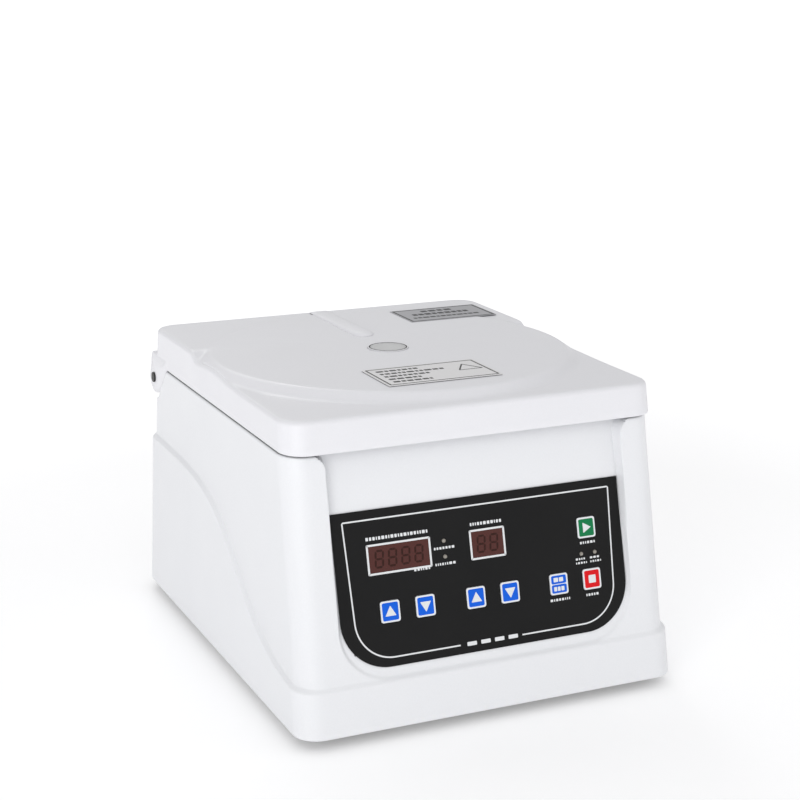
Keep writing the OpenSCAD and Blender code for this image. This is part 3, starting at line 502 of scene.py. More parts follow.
# The recess in the front, and the panel frame in it: X across, S up the slope, N out of it
RECESS_HALF, RECESS_R, RECESS_Z = 108.5, 35.0, BASE_Z + 31
RECESS_LOW, RECESS_TOP = 1.2, 9.0
JOINT_Z = DECK_Z + 0.6
LEAN = FRONT_LEAN + (RECESS_TOP - RECESS_LOW) / (JOINT_Z - RECESS_Z)
PLANE_Y = front_up(RECESS_Z) + RECESS_LOW - LEAN * rise(RECESS_Z)
SLOPE = math.hypot(1, LEAN)
RECESS_S = rise(RECESS_Z) * SLOPE
print("the panel leans back", round(math.degrees(math.atan(LEAN)), 2), "degrees")


def panel(x, s, n):
    """A point of the panel frame in the row frame: across, up the slope and out of it."""
    up, out = np.array([0, LEAN, 1]) / SLOPE, np.array([0, -1, LEAN]) / SLOPE
    x, s, n = np.broadcast_arrays(np.asarray(x, float), s, n)
    place = np.stack([x, 0 * x, 0 * x], -1) + s[..., None] * up + n[..., None] * out
    return place + np.array([0, PLANE_Y, BASE_Z])


def recess_inside(x, z):
    """Distance inside the recess outline: a tray with round lower corners, open at the top."""
    flare = 7 * np.clip((z - DECK_Z + 10) / 10, 0, 1) ** 2.5
    qx = np.abs(x) - (RECESS_HALF - RECESS_R) - flare
    qs = RECESS_S + RECESS_R - rise(z) * SLOPE
    outside = np.hypot(np.maximum(qx, 0), np.maximum(qs, 0))
    return RECESS_R - outside - np.minimum(np.maximum(qx, qs), 0)


# %% [markdown]
# ## The housing
# The case is one injection moulding about 3 mm thick. Its side wall carries a soft S-shaped step,
# and its front is let in round the control panel. The real one needs draft so that it leaves the
# mould, which is why every wall leans. Rows of the grid follow the step, so the crease stays crisp,
# and columns crowd together at the round corners of the recess.

# %% Housing wall
STEP_SOFT, RECESS_SOFT, EDGE = 3.4, 2.2, 1.6


def housing_point(path, z, inset):
    """Below the step the half width and the front change over to the lower ones; inside the
    recess the front moves to the recess plane."""
    ty, ny = path[1], path[3]
    front, back = front_up(z), rear(z)
    y = plan_point(path, half_up(z), front, back, 0.0)[1]
    low = ease((step_at(y) - z) / STEP_SOFT + 0.5)
    half = half_up(z) + low * (half_low(z) - half_up(z))
    front = front + low * (front_low(z) - front)
    x, y = plan_point(path, half, front, back, inset)
    let_in = ease((recess_inside(x, z) + inset) / RECESS_SOFT) * ((ty == 0) & (ny < -0.5))
    plane = PLANE_Y + LEAN * rise(z) + inset
    y = y + let_in * (plane - y)
    return np.stack([x, y, z + 0 * x], -1)


crowd = np.linspace(0.60, 0.985, 70)
front_cx = np.concatenate([-crowd[::-1], np.linspace(-0.58, 0.58, 15), crowd])
housing_path = plan_path(front_cx, np.linspace(0, 1, 62)[1:-1], np.linspace(-1, 1, 24)[1:-1], 12)
base_y = -157.5 + 315 * housing_path[1] + CORNER_R * housing_path[3]
step_z = step_at(base_y)
low_z, high_z = BASE_Z + 1.4, DECK_Z - EDGE
levels = [low_z + f * (step_z - 3 - low_z) for f in np.linspace(0, 1, 9)]
levels += [step_z + o for o in (-2.2, -1.6, -1.1, -0.6, -0.1, 0.4, 0.9, 1.4, 2.0, 2.6)]
above = np.concatenate([np.linspace(0, 0.27, 56), np.linspace(0.27, 0.93, 18)[1:],
                        np.linspace(0.93, 1, 8)[1:]])
levels += [step_z + 3.2 + f * (high_z - step_z - 3.2) for f in above]
rows = [housing_point(housing_path, BASE_Z + 0 * base_y, 1.2),
        housing_point(housing_path, BASE_Z + 0.4 + 0 * base_y, 0.35)]
rows += [housing_point(housing_path, z, 0.0) for z in levels]
for a in np.radians((18, 36, 54, 72, 90)):
    rows.append(housing_point(housing_path, high_z + EDGE * math.sin(a) + 0 * base_y,
                              EDGE * (1 - math.cos(a))))
print("wall rows", len(rows), "columns", housing_path.shape[1])

# %% Deck and inside
BEHIND = 15.5
# A belt BEHIND mm inside the wall lies past the recess, so a line from the middle of the bowl
# crosses it only once, and the deck can be ruled straight from it to the mouth.
belt_line = np.column_stack(plan_point(housing_path, half_up(DECK_Z), front_up(DECK_Z),
                                       rear(DECK_Z), BEHIND))
toward = belt_line - np.array([0, AXIS_Y])
mouth_r = bowl_high[0] - 5.5
mouth = np.array([0, AXIS_Y]) + mouth_r * toward / np.linalg.norm(toward, axis=1)[:, None]
flat = np.ones(len(mouth))[:, None]
deck_ring = np.hstack([belt_line, DECK_Z * flat])
rows += [rows[-1] + 0.1 * (deck_ring - rows[-1]), deck_ring]
for f in (0.4, 0.95, 1.0):
    sink = 0.3 if f == 1.0 else 0.0
    rows.append(np.hstack([belt_line + f * (mouth - belt_line), (DECK_Z - sink) * flat]))
rows += [np.hstack([edge, (DECK_Z - WALL) * flat]) for edge in (mouth, belt_line)]
print("gap between mouth and belt", np.linalg.norm(toward, axis=1).min() - mouth_r)
for z in np.linspace(DECK_Z - WALL, BASE_Z, 15):
    rows.append(housing_point(housing_path, z + 0 * base_y, WALL))
housing = skin("housing_moulding", [np.array(rows)], "spark_eroded_abs", None)

# %% [markdown]
# ### Openings in the case
# A real tool has loose cores for the panel window, the hinge pockets, the latch slot, the inlet,
# the switch and the vents. Here each opening is a closed solid and one Boolean takes them all out.


# %% Cutting tools
def block(low, high):
    """A plain block between two corners as two loops of four points."""
    x0, y0, z0 = low
    x1, y1, z1 = high
    return np.array([[(x0, y0, z), (x1, y0, z), (x1, y1, z), (x0, y1, z)] for z in (z0, z1)])


def rear_frame(x, z, u, v, n):
    """Points on the rear face: u across, v up the face, n out of it, from the point x, z."""
    up, out = np.array([0, -REAR_LEAN, 1]), np.array([0, 1, REAR_LEAN])
    up, out = up / np.linalg.norm(up), out / np.linalg.norm(out)
    start = np.stack([x + u, rear(z) + 0 * u, z + 0 * u], -1)
    return start + v[:, None] * up + n * out


def rear_block(x, z, w, h, n0, n1):
    """A block cut through the rear wall, w across and h up, from depth n0 to n1."""
    u, v = w / 2 * np.array([-1, 1, 1, -1]), h / 2 * np.array([-1, -1, 1, 1])
    return np.array([rear_frame(x, z, u, v, n) for n in (n0, n1)])


def ear_reach(angle):
    """Distance from the hinge axis to the ear's edge: the nearest of the edge lines of a convex
    outline, each at its own distance over the cosine to its normal."""
    arc = np.radians(np.linspace(-90, 0, 13))
    top = JOINT_Z + 8
    p = np.vstack([[(-33.6, top - PIVOT_Z), (-33.6, JOINT_Z + 1 - PIVOT_Z), (-12.6, -9.3)],
                   12.5 * np.column_stack([np.cos(arc), np.sin(arc)]),
                   [(rear(top) - PIVOT_Y, top - PIVOT_Z)]])
    edge = np.roll(p, -1, 0) - p
    normal = np.stack([edge[:, 1], -edge[:, 0]], 1) / np.linalg.norm(edge, axis=1)[:, None]
    lie = (p * normal).sum(1)
    cosine = np.stack([np.cos(angle), np.sin(angle)], -1) @ normal.T
    reach = np.where(cosine > 1e-6, lie / np.maximum(cosine, 1e-6), 1e9)
    return reach.min(-1)


ring_angle = np.linspace(0, 2 * math.pi, 120, endpoint=False)
NOTCH_IN, EAR_IN, EAR_OUT = 129.1, 129.9, half_up(JOINT_Z) + 0.03
NOTCH_GAP, NOTCH_LEAST, PAST_SIDE = 0.9, 16.6, 160


def around_pivot(x, reach):
    """A loop in the plane across the hinge axis at x, at that reach from the axis."""
    return np.stack([x + 0 * reach, PIVOT_Y + reach * np.cos(ring_angle),
                     PIVOT_Z + reach * np.sin(ring_angle)], -1)


notch = np.maximum(ear_reach(ring_angle) + NOTCH_GAP, NOTCH_LEAST)
cuts = [np.array([around_pivot(s * NOTCH_IN, notch), around_pivot(s * PAST_SIDE, notch)])
        for s in (1, -1)]
window_x, window_s = np.array([-98, 98, 98, -98]), np.array([50.4, 50.4, 135.1, 135.1])
cuts_square = [np.array([panel(window_x, window_s, n) for n in (-12, 6)])]
hook_low, hook_high = corners("lid_hook")
cuts_square.append(block((-3, hook_low[1] - 1.5, DECK_Z - 9), (3, hook_high[1] + 1.5, DECK_Z + 5)))
THROUGH = 9
# x, height, width and tall side of each opening in the rear: inlet, rocker and ten vents
rear_openings = [(78, 44, 28, 38), (36, 40, 14, 20)]
rear_openings += [(-100 + 9 * i, 62, 4, 40) for i in range(10)]
cuts_square += [rear_block(x, BASE_Z + z, w, h, -THROUGH, THROUGH) for x, z, w, h in rear_openings]


def carve(piece, tools):
    """Takes the tools out of the piece with one Boolean and keeps the result as its mesh."""
    cut = piece.modifiers.new("cut", "BOOLEAN")
    cut.operation, cut.solver, cut.object = "DIFFERENCE", "EXACT", tools
    graph = bpy.context.evaluated_depsgraph_get()
    mesh = bpy.data.meshes.new_from_object(piece.evaluated_get(graph))
    piece.modifiers.clear()
    piece.data = mesh
    bpy.data.objects.remove(tools)
    shade_smooth(mesh, 32.0)
    print(piece.name, "after cutting", len(mesh.polygons), "faces")


carve(housing, skin("housing_cores", cuts + cuts_square, "satin_abs", None, closed=False))
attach(housing, "housing")
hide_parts("body_shell")

# %% [markdown]
# ### Hinge pockets
# Behind each ear the case has a floor of its own, so that the pocket stays closed to the inside.

# %% Hinge pockets
foot_z, head_z, fore_y = PIVOT_Z - 20, DECK_Z - 0.4, PIVOT_Y - 42
pocket_y = np.array([fore_y, rear(foot_z) - 1, rear(DECK_Z) - 1, fore_y])
pocket_z = np.array([foot_z, foot_z, head_z, head_z])
pocket = [np.array([np.column_stack([side * x + 0 * pocket_y, pocket_y, pocket_z])
                    for x in (NOTCH_IN - WALL, NOTCH_IN - 0.2)]) for side in (1, -1)]
pockets = skin("hinge_pocket_floors", pocket, "spark_eroded_abs", "housing", closed=False)

# %% [markdown]
# ## The lid
# The lid is a shallow tray turned over. Its top carries a wide round plateau over the rotor, with a
# bevelled rim that dies into the side walls, and a flat block across the rear over the hinges. The
# top is a height map; three heights are joined with a soft maximum, which leaves the small
# moulded radius that catches the light.

# %% Lid height map
PLATEAU_R, CONE_RUN, CONE_DROP = 129.2, 12.8, 8.8
BLOCK_Y = AXIS_Y + 42
LID_EDGE = 3.2


def soft_max(a, b, k):
    """The larger of two heights, plus a small fillet where they differ by less than k."""
    near = np.maximum(k - np.abs(a - b), 0)
    return np.maximum(a, b) + near * near / (4 * k)


def lid_height(x, y):
    """Shelf line, round plateau with its bevel, and rear block: the soft maximum of the three."""
    shelf = np.interp(y, [-145, -39, 50, 400], [206.6, 210.9, 211.9, 212.2]) - 216.8 + TOP_Z
    out = np.hypot(x, y - AXIS_Y)
    cone = TOP_Z - CONE_DROP * (out - PLATEAU_R) / CONE_RUN
    plateau = -soft_max(-cone, -TOP_Z + 0 * cone, 1.6)
    back = TOP_Z - 6 * (1 - ease((y - BLOCK_Y + 7) / 15))
    back = -soft_max(-back, -TOP_Z + 0 * back, 0.8)
    return soft_max(soft_max(shelf, plateau, 1.6), back, 2.0) - 0.4


def lid_front(z):
    """The lid's front overhangs the case by 5.3 mm and leans back by a fifth of the height."""
    return front_up(JOINT_Z) - 5.3 + 0.2 * (z - JOINT_Z)


def lid_point(path, z, inset):
    """The plan path at height z, with the lid's own front."""
    x, y = plan_point(path, half_up(z), lid_front(z), rear(z), inset)
    return np.stack([x, y, z + 0 * x], -1)


side_t = np.concatenate([np.linspace(0, 0.58, 42), np.linspace(0.585, 0.68, 26),
                         np.linspace(0.69, 1, 18)])[1:-1]
lid_path = plan_path(np.linspace(-1, 1, 64)[1:-1], side_t, np.linspace(-1, 1, 26)[1:-1], 14)
zero = 0 * lid_path[0]
edge_xy = lid_point(lid_path, TOP_Z - 8 + zero, 1.5)
edge_z = lid_height(edge_xy[:, 0], edge_xy[:, 1])
wall_top = edge_z - LID_EDGE
lid_rows = [lid_point(lid_path, LID_Z + zero, WALL), lid_point(lid_path, LID_Z + zero, 1.1),
            lid_point(lid_path, LID_Z + 0.3 + zero, 0.3)]
lid_rows += [lid_point(lid_path, LID_Z + 1.1 + f * (wall_top - LID_Z - 1.1), 0.0)
             for f in (0, 0.25, 0.5, 0.75, 1)]
for a in np.radians((11, 22, 34, 45, 56, 68, 79)):
    lid_rows.append(lid_point(lid_path, wall_top + LID_EDGE * math.sin(a),
                              LID_EDGE * (1 - math.cos(a))))
rim_xy = lid_point(lid_path, edge_z, LID_EDGE)[:, :2]
out_xy = rim_xy - np.array([0, AXIS_Y])
reach = np.linalg.norm(out_xy, axis=1)
heading = out_xy / reach[:, None]
BAND_OUT, BAND_IN, HOLE_R = 144.0, 126.0, 14.7
radii = [reach - np.maximum(reach - BAND_OUT, 0.03) * j / 6 for j in range(7)]
radii += [np.minimum(b, reach - 0.03 - 0.05 * (k + 1))
          for k, b in enumerate(np.linspace(BAND_OUT, BAND_IN, 30))]
radii += [r + zero for r in (124.5, 120, 100, 75, 50, 30, 20, HOLE_R + 0.3)]


def ring_row(radius, drop=0.0, level=None):
    """A row of the top: out along each heading by radius, at the map's height less drop."""
    xy = np.array([0, AXIS_Y]) + radius[:, None] * heading
    z = lid_height(xy[:, 0], xy[:, 1]) - drop if level is None else level + zero
    return np.column_stack([xy, z])


lid_rows += [ring_row(r) for r in radii]
lid_rows += [ring_row(HOLE_R + zero, 0.3), ring_row(HOLE_R + zero, WALL)]
inner_xy = lid_point(lid_path, TOP_Z - 14 + zero, WALL)[:, :2] - np.array([0, AXIS_Y])
inner_reach = np.linalg.norm(inner_xy, axis=1)
for f in (0.25, 0.5, 0.75, 0.88, 0.94):
    lid_rows.append(ring_row(HOLE_R + f * (inner_reach - HOLE_R), WALL + 0.6))
for f in (1, 0.66, 0.33):
    lid_rows.append(lid_point(lid_path, LID_Z + f * (edge_z - 8 - LID_Z), WALL))
lid = skin("lid_moulding", [np.array(lid_rows)], "satin_abs", "lid", sharp=40)
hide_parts("lid_cover")

# %% [markdown]
# ### Hinge ears
# Two flat ears of the lid reach down into pockets in the rear corners of the case and turn on pins.
# The outline is convex, so its edge is given as a distance from the pin at each angle.

# %% Hinge ears
ear_edge, bore = ear_reach(ring_angle), 3.06 + 0 * ring_angle
ears = []
for side in (1, -1):
    section = [(EAR_IN, bore), (EAR_IN, ear_edge - 0.7), (EAR_IN + 0.7, ear_edge),
               (EAR_OUT - 1.3, ear_edge), (EAR_OUT - 0.9, ear_edge - 0.15),
               (EAR_OUT - 0.4, ear_edge - 0.5), (EAR_OUT, ear_edge - 1.2), (EAR_OUT, bore)]
    ears.append(np.array([around_pivot(side * x, r) for x, r in section]))
ear_piece = skin("lid_ears", ears, "satin_abs", "lid", sharp=50)

# %% [markdown]
# ### Flat trim: pads, frames and bars
# The rib, the labels and every printed mark are low flat shapes. A pad is an outline carried up
# through a short edge profile and closed; a frame is the same with a hole; a bar stands for a line
# of small print, which is left without letters.


# %% Trim tools
def round_box(w, h, r, per=7):
    """Outline of a box with round corners, and the normals of its points."""
    a = np.concatenate([np.linspace(q, q + 90, per) for q in (0, 90, 180, 270)])
    nx, ny = np.cos(np.radians(a)), np.sin(np.radians(a))
    sx, sy = np.repeat([1, -1, -1, 1], per), np.repeat([1, 1, -1, -1], per)
    return sx * (w / 2 - r) + r * nx, sy * (h / 2 - r) + r * ny, nx, ny


def pad(place, outline, centre, profile):
    """Rows of the outline moved in by each inset and lifted to each height of the profile."""
    x, y, nx, ny = outline
    return np.array([place(centre[0] + x - i * nx, centre[1] + y - i * ny, n) for i, n in profile])


def frame_rows(place, outline, centre, width, n0, n1):
    """A band of that width inside the outline, from height n0 to n1, as a closed section."""
    return pad(place, outline, centre, [(0, n0), (0, n1), (width, n1), (width, n0)])


def words(place, spans, s, height, n0, n1, seed, gap=0.9, least=1.2, most=4.2):
    """Lines of small print as short bars of uneven length between their two ends."""
    made, chance = [], np.random.default_rng(seed)
    for start, end in spans:
        x = start
        while x < end - least:
            long = min(chance.uniform(least, most), end - x)
            shape = round_box(long, height, min(0.25, height / 2.2), 2)
            made.append(pad(place, shape, (x + long / 2, s), [(0, n0), (0, n1)]))
            x += long + gap
    return made


def lid_place(x, y, n):
    """On the lid's flat top, n above it."""
    return np.stack([x, y, TOP_Z + n + 0 * np.asarray(x)], -1)


def triangle(size, r=0.4):
    """Outline of an upright triangle with slightly round corners: each corner a short arc."""
    centre = np.radians([90, 210, 330])
    a = (centre[:, None] + np.radians(np.linspace(-60, 60, 5))[None]).ravel()
    cx, cy = np.repeat(size * np.cos(centre), 5), np.repeat(size * np.sin(centre), 5)
    return cx + r * np.cos(a), cy + r * np.sin(a), np.cos(a), np.sin(a)


# %% [markdown]
# ### Rib, sight window rim and labels
# A low rib runs from the window to the rear edge and stiffens the top. A silver foil label and a
# white vinyl one are stuck on; both carry generic bars in place of print.

# %% Rib
RIB_W, RIB_H = 16.0, 2.5
rib_front, rib_back = AXIS_Y + 39, rear(TOP_Z) - 6
tongue = np.linspace(math.pi, 2 * math.pi, 21)
rib_x = np.concatenate([RIB_W / 2 * np.cos(tongue), [RIB_W / 2, -RIB_W / 2]])
rib_y = np.concatenate([rib_front + RIB_W / 2 * (1 + np.sin(tongue)), [rib_back, rib_back]])
rib_nx = np.concatenate([np.cos(tongue), [1, -1]])
rib_ny = np.concatenate([np.sin(tongue), [0, 0]])
rib_rows = pad(lid_place, (rib_x, rib_y, rib_nx, rib_ny), (0, 0),
               [(0, -0.6), (0, 0.2), (0.5, 0.9), (1.5, 1.9), (2.1, RIB_H - 0.2), (2.8, RIB_H)])
fade = 1 - 0.75 * np.clip((rib_rows[..., 1] - rib_front) / (rib_back - rib_front), 0, 1)
rib_rows[..., 2] = TOP_Z + (rib_rows[..., 2] - TOP_Z) * fade
rib = skin("lid_rib", [rib_rows], "satin_abs", "lid", closed=False, sharp=50)

# %% Sight window gasket
loop_a = np.linspace(0, 2 * math.pi, 65)[:-1]
GASKET_R = 13.9
ring_loop = (GASKET_R * np.cos(loop_a), GASKET_R * np.sin(loop_a), np.cos(loop_a), np.sin(loop_a))
bead = [(0, 0.1), (0, 0.35), (0.3, 0.45), (0.8, 0.35), (0.9, 0.1)]
gasket = skin("sight_gasket", [pad(lid_place, ring_loop, (0, AXIS_Y), bead)], "moulded_rubber",
              "lid", sharp=50)

# %% Labels
plate_low, plate_high = corners("rating_plate")
card_low, card_high = corners("safety_label")
THIN = 0.05
borders = []
for low, high, rim_w, inset in ((plate_low, plate_high, 1.5, 1.0), (card_low, card_high, 1.2, 1.6)):
    mid, size = (low + high) / 2, high - low
    top = high[2] - TOP_Z
    shape = round_box(size[0] - 2 * inset, size[1] - 2 * inset, 1.0)
    borders.append(frame_rows(lid_place, shape, mid[:2], rim_w, top, top + THIN))
frames = skin("label_borders", borders, "black_screen_ink", "lid", sharp=20)
top = plate_high[2] - TOP_Z
middle = (plate_low + plate_high) / 2
lines = words(lid_place, [(middle[0] - 14, middle[0] + 14)], plate_high[1] - 10, 5.0, top,
              top + THIN, 1, 1.6, 4.0, 6.0)
lines += words(lid_place, [(plate_low[0] + 11, plate_high[0] - 11)], plate_high[1] - 20, 5.4, top,
               top + THIN, 2, 1.2, 3.5, 5.5)
lines += words(lid_place, [(plate_low[0] + 7, plate_high[0] - 7)], plate_low[1] + 12, 3.6, top,
               top + THIN, 3, 0.9, 2.5, 6.0)
top = card_high[2] - TOP_Z
card_lines = ((-9, 0.62), (-16.5, 0.95), (-24, 0.7), (-31.5, 0.52), (-39, 0.58))
for row, (y, wide) in enumerate(card_lines):
    right = card_low[0] + 7 + wide * 50
    lines += words(lid_place, [(card_low[0] + 7, right)], card_high[1] + y, 3.4, top, top + THIN,
                   10 + row, 1.0, 2.0, 5.5)
label_print = skin("label_print", lines, "black_screen_ink", "lid", closed=False, sharp=20)
mark = (card_high[0] - 13.5, card_low[1] + 27)
x, y, nx, ny = triangle(9.5, 0.8)
sign = [frame_rows(lid_place, (x, y, nx, ny), mark, 1.1, top, top + THIN)]
sign_piece = skin("label_triangle", sign, "black_screen_ink", "lid", sharp=20)

# %% [markdown]
# ## The control panel
# The panel is a printed film over membrane switches. The pale line, the window frames, the arrows
# and the captions are screen ink a few hundredths of a millimetre thick. Bars stand for captions.

# %% Panel print
SHEET_N = 0.8
INK_N = SHEET_N + THIN
PANEL_S = RECESS_S + 8
DISP_S, KEY_S, START_S = PANEL_S + 70.6, PANEL_S + 35.8, PANEL_S + 71.2
windows = {"speed": (-60.5, 42.8), "time": (3.7, 23.2)}


def stroke(points, width):
    """A printed line along a path: points moved half the width to each side of the path."""
    p = np.asarray(points, float)
    along = np.gradient(p, axis=0)
    along /= np.linalg.norm(along, axis=1)[:, None]
    side = np.stack([-along[:, 1], along[:, 0]], 1) * width / 2
    a, b = p + side, p - side
    return np.stack([panel(q[:, 0], q[:, 1], n) for q, n in
                     ((a, SHEET_N), (a, INK_N), (b, INK_N), (b, SHEET_N))], 1)


low_s, high_s, half_low_x, half_high_x, bend = 45.9, 136.8, 96.0, 98.2, 26.0
turn = np.radians(np.linspace(0, 90, 19))[1:-1]
left_arc = np.stack([-half_low_x + bend * (1 - np.sin(turn)),
                     low_s + bend * (1 - np.cos(turn))], 1)
left_part = np.concatenate([
    np.linspace((-23, low_s), (-half_low_x + bend, low_s), 8), left_arc,
    np.linspace((-half_low_x, low_s + bend), (-half_high_x, high_s - 0.5), 8)])
top_part = np.linspace((-half_high_x + 0.5, high_s), (0, high_s), 8)
half_path = np.concatenate([left_part, top_part])
whole = np.concatenate([half_path, (half_path * (-1, 1))[::-1][1:]])
line_rows = stroke(whole, 1.0)
panel_line = skin("panel_line", [line_rows], "white_screen_ink", "housing", closed=False, sharp=60)

rims = []
for x, w in windows.values():
    shape = round_box(w + 0.2 + 2.6, 17.5 + 2.6, 0.6)
    rims.append(frame_rows(panel, shape, (x, DISP_S), 1.3, SHEET_N, SHEET_N + 0.25))
window_frames = skin("window_frames", rims, "white_screen_ink", "housing", sharp=30)
captions = []
# the two ends, the height on the panel and the size of each line of print
lines_of_print = [((-83, -39), 124.2, 2.2), ((-8, 15.5), 124.2, 2.1), ((-51, -39.5), 99.9, 1.5),
                  ((-35.5, -20.5), DISP_S + 1.1, 1.7), ((-35.5, -20.5), DISP_S - 9.4, 1.7),
                  ((73, 84.5), START_S - 10.2, 1.7), ((68.6, 77.0), PANEL_S + 50.3, 1.4),
                  ((79.6, 88.0), PANEL_S + 50.3, 1.4), ((68.6, 77.0), PANEL_S + 47.6, 1.4),
                  ((79.6, 88.0), PANEL_S + 47.6, 1.4), ((46.5, 61.5), KEY_S - 10.6, 1.7),
                  ((74.2, 84.8), KEY_S - 10.6, 1.7)]
for row, (span, s, tall) in enumerate(lines_of_print):
    captions += words(panel, [span], s, tall, SHEET_N, INK_N, 21 + row, 0.75, 0.7, 2.1)
for i in range(4):
    captions.append(pad(panel, round_box(7.0, 2.6, 0.5), (-14.5 + 10.2 * i, low_s),
                        [(0, SHEET_N), (0, INK_N)]))
caption_piece = skin("panel_captions", captions, "white_screen_ink", "housing", closed=False,
                     sharp=60)

# %% [markdown]
# ### Displays
# Behind the red filter sit seven-segment modules. They are off, and the segments show only as a
# slightly darker red. Each digit is seven six-sided bars on a figure eight, leaning a little.


# %% Unlit digits
def segments(centre_x, digits, wide, tall, pitch):
    """Seven bars per digit: three across and four upright, each a long hexagon, sheared by 8%."""
    made = []
    for d in range(digits):
        x0 = centre_x + (d - (digits - 1) / 2) * pitch
        spots = [(0, k * tall / 2, 0) for k in (-1, 0, 1)]
        spots += [(i * wide / 2, j * tall / 4, 1) for i in (-1, 1) for j in (-1, 1)]
        for dx, ds, upright in spots:
            end, fat = (tall / 2 if upright else wide) / 2 - 0.25, 1.35 / 2
            tip = np.array([(-end, 0), (fat - end, -fat), (end - fat, -fat),
                            (end, 0), (end - fat, fat), (fat - end, fat)])
            tip = tip[:, ::-1] if upright else tip
            x, s = x0 + dx + tip[:, 0] + 0.08 * (ds + tip[:, 1]), DISP_S + ds + tip[:, 1]
            made.append(np.array([panel(x, s, SHEET_N), panel(x, s, SHEET_N + 0.03)]))
    return made


digits = []
for name, count in (("speed", 4), ("time", 2)):
    digits += segments(windows[name][0], count, 5.2, 10.6, 9.4)
digit_piece = skin("display_digits", digits, "unlit_segment", "housing", closed=False, sharp=60)

# %% [markdown]
# ### Keys
# Each key is a domed square with a pale edge and a coloured face. Arrows step the speed and the
# time up and down, a two-part key changes the reading, and the green and red keys start and stop.

# %% Key faces
keys = {"speed_up": (-70.6, KEY_S, "blue"), "speed_down": (-45.4, KEY_S, "blue"),
        "time_up": (-8.5, KEY_S, "blue"), "time_down": (16.8, KEY_S, "blue"),
        "mode": (53.9, KEY_S, "blue"), "stop": (79.5, KEY_S, "red"),
        "start": (78.6, START_S, "green")}
KEY_TOP = 1.2
face = [(0.0, KEY_TOP), (0.1, KEY_TOP + 0.1), (0.4, KEY_TOP + 0.18), (0.9, KEY_TOP + 0.22)]
top = KEY_TOP + 0.2
print_up = [(0, top), (0, top + 0.1)]
for name, (x, s, colour) in keys.items():
    body = f"key_{name}_cap"
    halves = [(0, 0, 11.4, 11.8)] if name != "mode" else [(0, 3.1, 11.4, 5.7), (0, -3.1, 11.4, 5.7)]
    faces = [pad(panel, round_box(w, h, 1.1), (x + dx, s + ds), face)
             for dx, ds, w, h in halves]
    piece = skin(f"key_face_{name}", faces, f"{colour}_key_film", body, closed=False, sharp=40)
    if "up" in name or "down" in name:
        tx, ts, nx, ns = triangle(4.0, 0.25)
        flip = -1 if "down" in name else 1
        glyph = [pad(panel, (tx, flip * ts, nx, flip * ns), (x, s - 0.6 * flip), print_up)]
    elif name == "mode":
        glyph = words(panel, [(x - 4, x + 4)], s + 3.1, 2.9, top, top + 0.1, 41, 0.7, 2.6, 3.4)
        glyph += words(panel, [(x - 4.2, x + 4.2)], s - 3.1, 2.9, top, top + 0.1, 42, 0.6, 1.8, 2.4)
    elif name == "stop":
        glyph = [pad(panel, round_box(5.4, 5.4, 0.5), (x, s), print_up)]
    else:
        tx, ts, nx, ns = triangle(3.6, 0.25)
        glyph = [pad(panel, (ts, -tx, ns, -nx), (x - 0.6, s), print_up)]
    icon = skin(f"key_icon_{name}", glyph, "white_screen_ink", body, closed=False, sharp=40)

# %% [markdown]
# ## Finishes for the CAD pieces
# The rest of the machine keeps its exact CAD shape: chamber, rotor, sleeves, motor, latch, feet and
# the power parts. Each gets the material of the real piece.

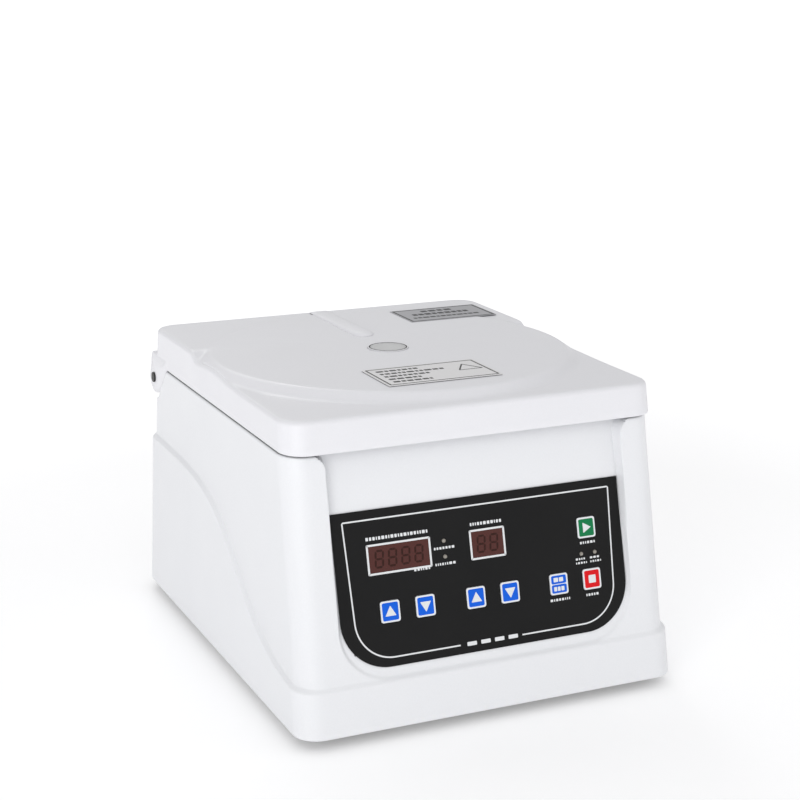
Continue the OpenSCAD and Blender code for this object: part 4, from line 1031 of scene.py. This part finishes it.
# %% Material of each CAD node
wear = {
    "black_powder_coat": ["base_plate", "motor_plate"],
    "grey_powder_coat": ["guard_ring"],
    "moulded_rubber": ["rubber_feet", "motor_dampers", "shaft_boot", "chamber_seal", "lid_seal"],
    "zinc_plate": ["base_screws", "lid_hook", "latch_bolt", "latch_housing"],
    "brushed_stainless": ["chamber_bowl"],
    "cast_aluminium": ["motor_housing"],
    "ground_steel": ["motor_bearings", "motor_shaft"],
    "lacquered_copper": ["motor_armature"],
    "laminated_iron": ["transformer"],
    "turned_dark_alloy": ["rotor_dish"],
    "anodised_sleeve": [f"tube_sleeve_{k}" for k in range(1, 9)],
    "blackened_steel": ["rotor_nut"],
    "clear_acrylic": ["sight_glass"],
    "vacuum_formed_abs": ["lid_liner", "sight_bezel"],
    "black_nylon": ["hinge_pins", "mains_inlet", "fuse_drawer", "rocker_frame"],
    "silver_foil_label": ["rating_plate"],
    "paper_vinyl": ["safety_label"],
    "velvet_film": ["panel_sheet"],
    "red_filter_acrylic": ["display_window_speed", "display_window_time"],
    "display_potting": ["display_speed", "display_time"],
    "lamp_epoxy": ["panel_lamps"],
    "glass_epoxy_board": ["control_board", "power_board"],
    "switch_nylon": ["key_switches"],
    "white_key_film": [f"key_{k}" for k in keys],
    "red_rocker_plastic": ["rocker_switch"],
}
dressed = set()
for material, names in wear.items():
    for name in names:
        for place in nodes[name].material_slots:
            place.material = finishes[material]
        dressed.add(name)
print("dressed", len(dressed), "left", sorted(set(nodes) - dressed))

# %% [markdown]
# ## The bench
# The machine stands on a plain pale sheet, wide enough to fill every view. It is lit a little from
# below, as a product table is, and more so far off, so that it stays white to the horizon.

# %% Floor
FLOOR_R, FLOOR_T = 40000.0, 20.0
floor_x, floor_y = FLOOR_R * np.cos(loop_a), FLOOR_R * np.sin(loop_a)
floor_rows = np.array([np.column_stack([floor_x, floor_y, z + 0 * floor_x])
                       for z in (-FLOOR_T, 0.0)])
finishes["matt_paper"] = finish_of("matt_paper", "F4F4F5", 0.9, 4.0, 0.02, tone=0.01,
                                   Specular_IOR_Level=0.1, Emission_Color=(1, 1, 1, 1))
paper = finishes["matt_paper"].node_tree
from_middle = add(paper, "ShaderNodeVectorMath",
                  {0: add(paper, "ShaderNodeTexCoord").outputs["Object"]}, operation="LENGTH")
glow = add(paper, "ShaderNodeMapRange", {"Value": from_middle.outputs["Value"], "From Min": 0.5,
                                         "From Max": 1.6, "To Min": 0.24, "To Max": 0.5})
paper.links.new(glow.outputs["Result"], paper.nodes["Principled BSDF"].inputs["Emission Strength"])
floor = skin("bench_sheet", [floor_rows], "matt_paper", None, closed=False)
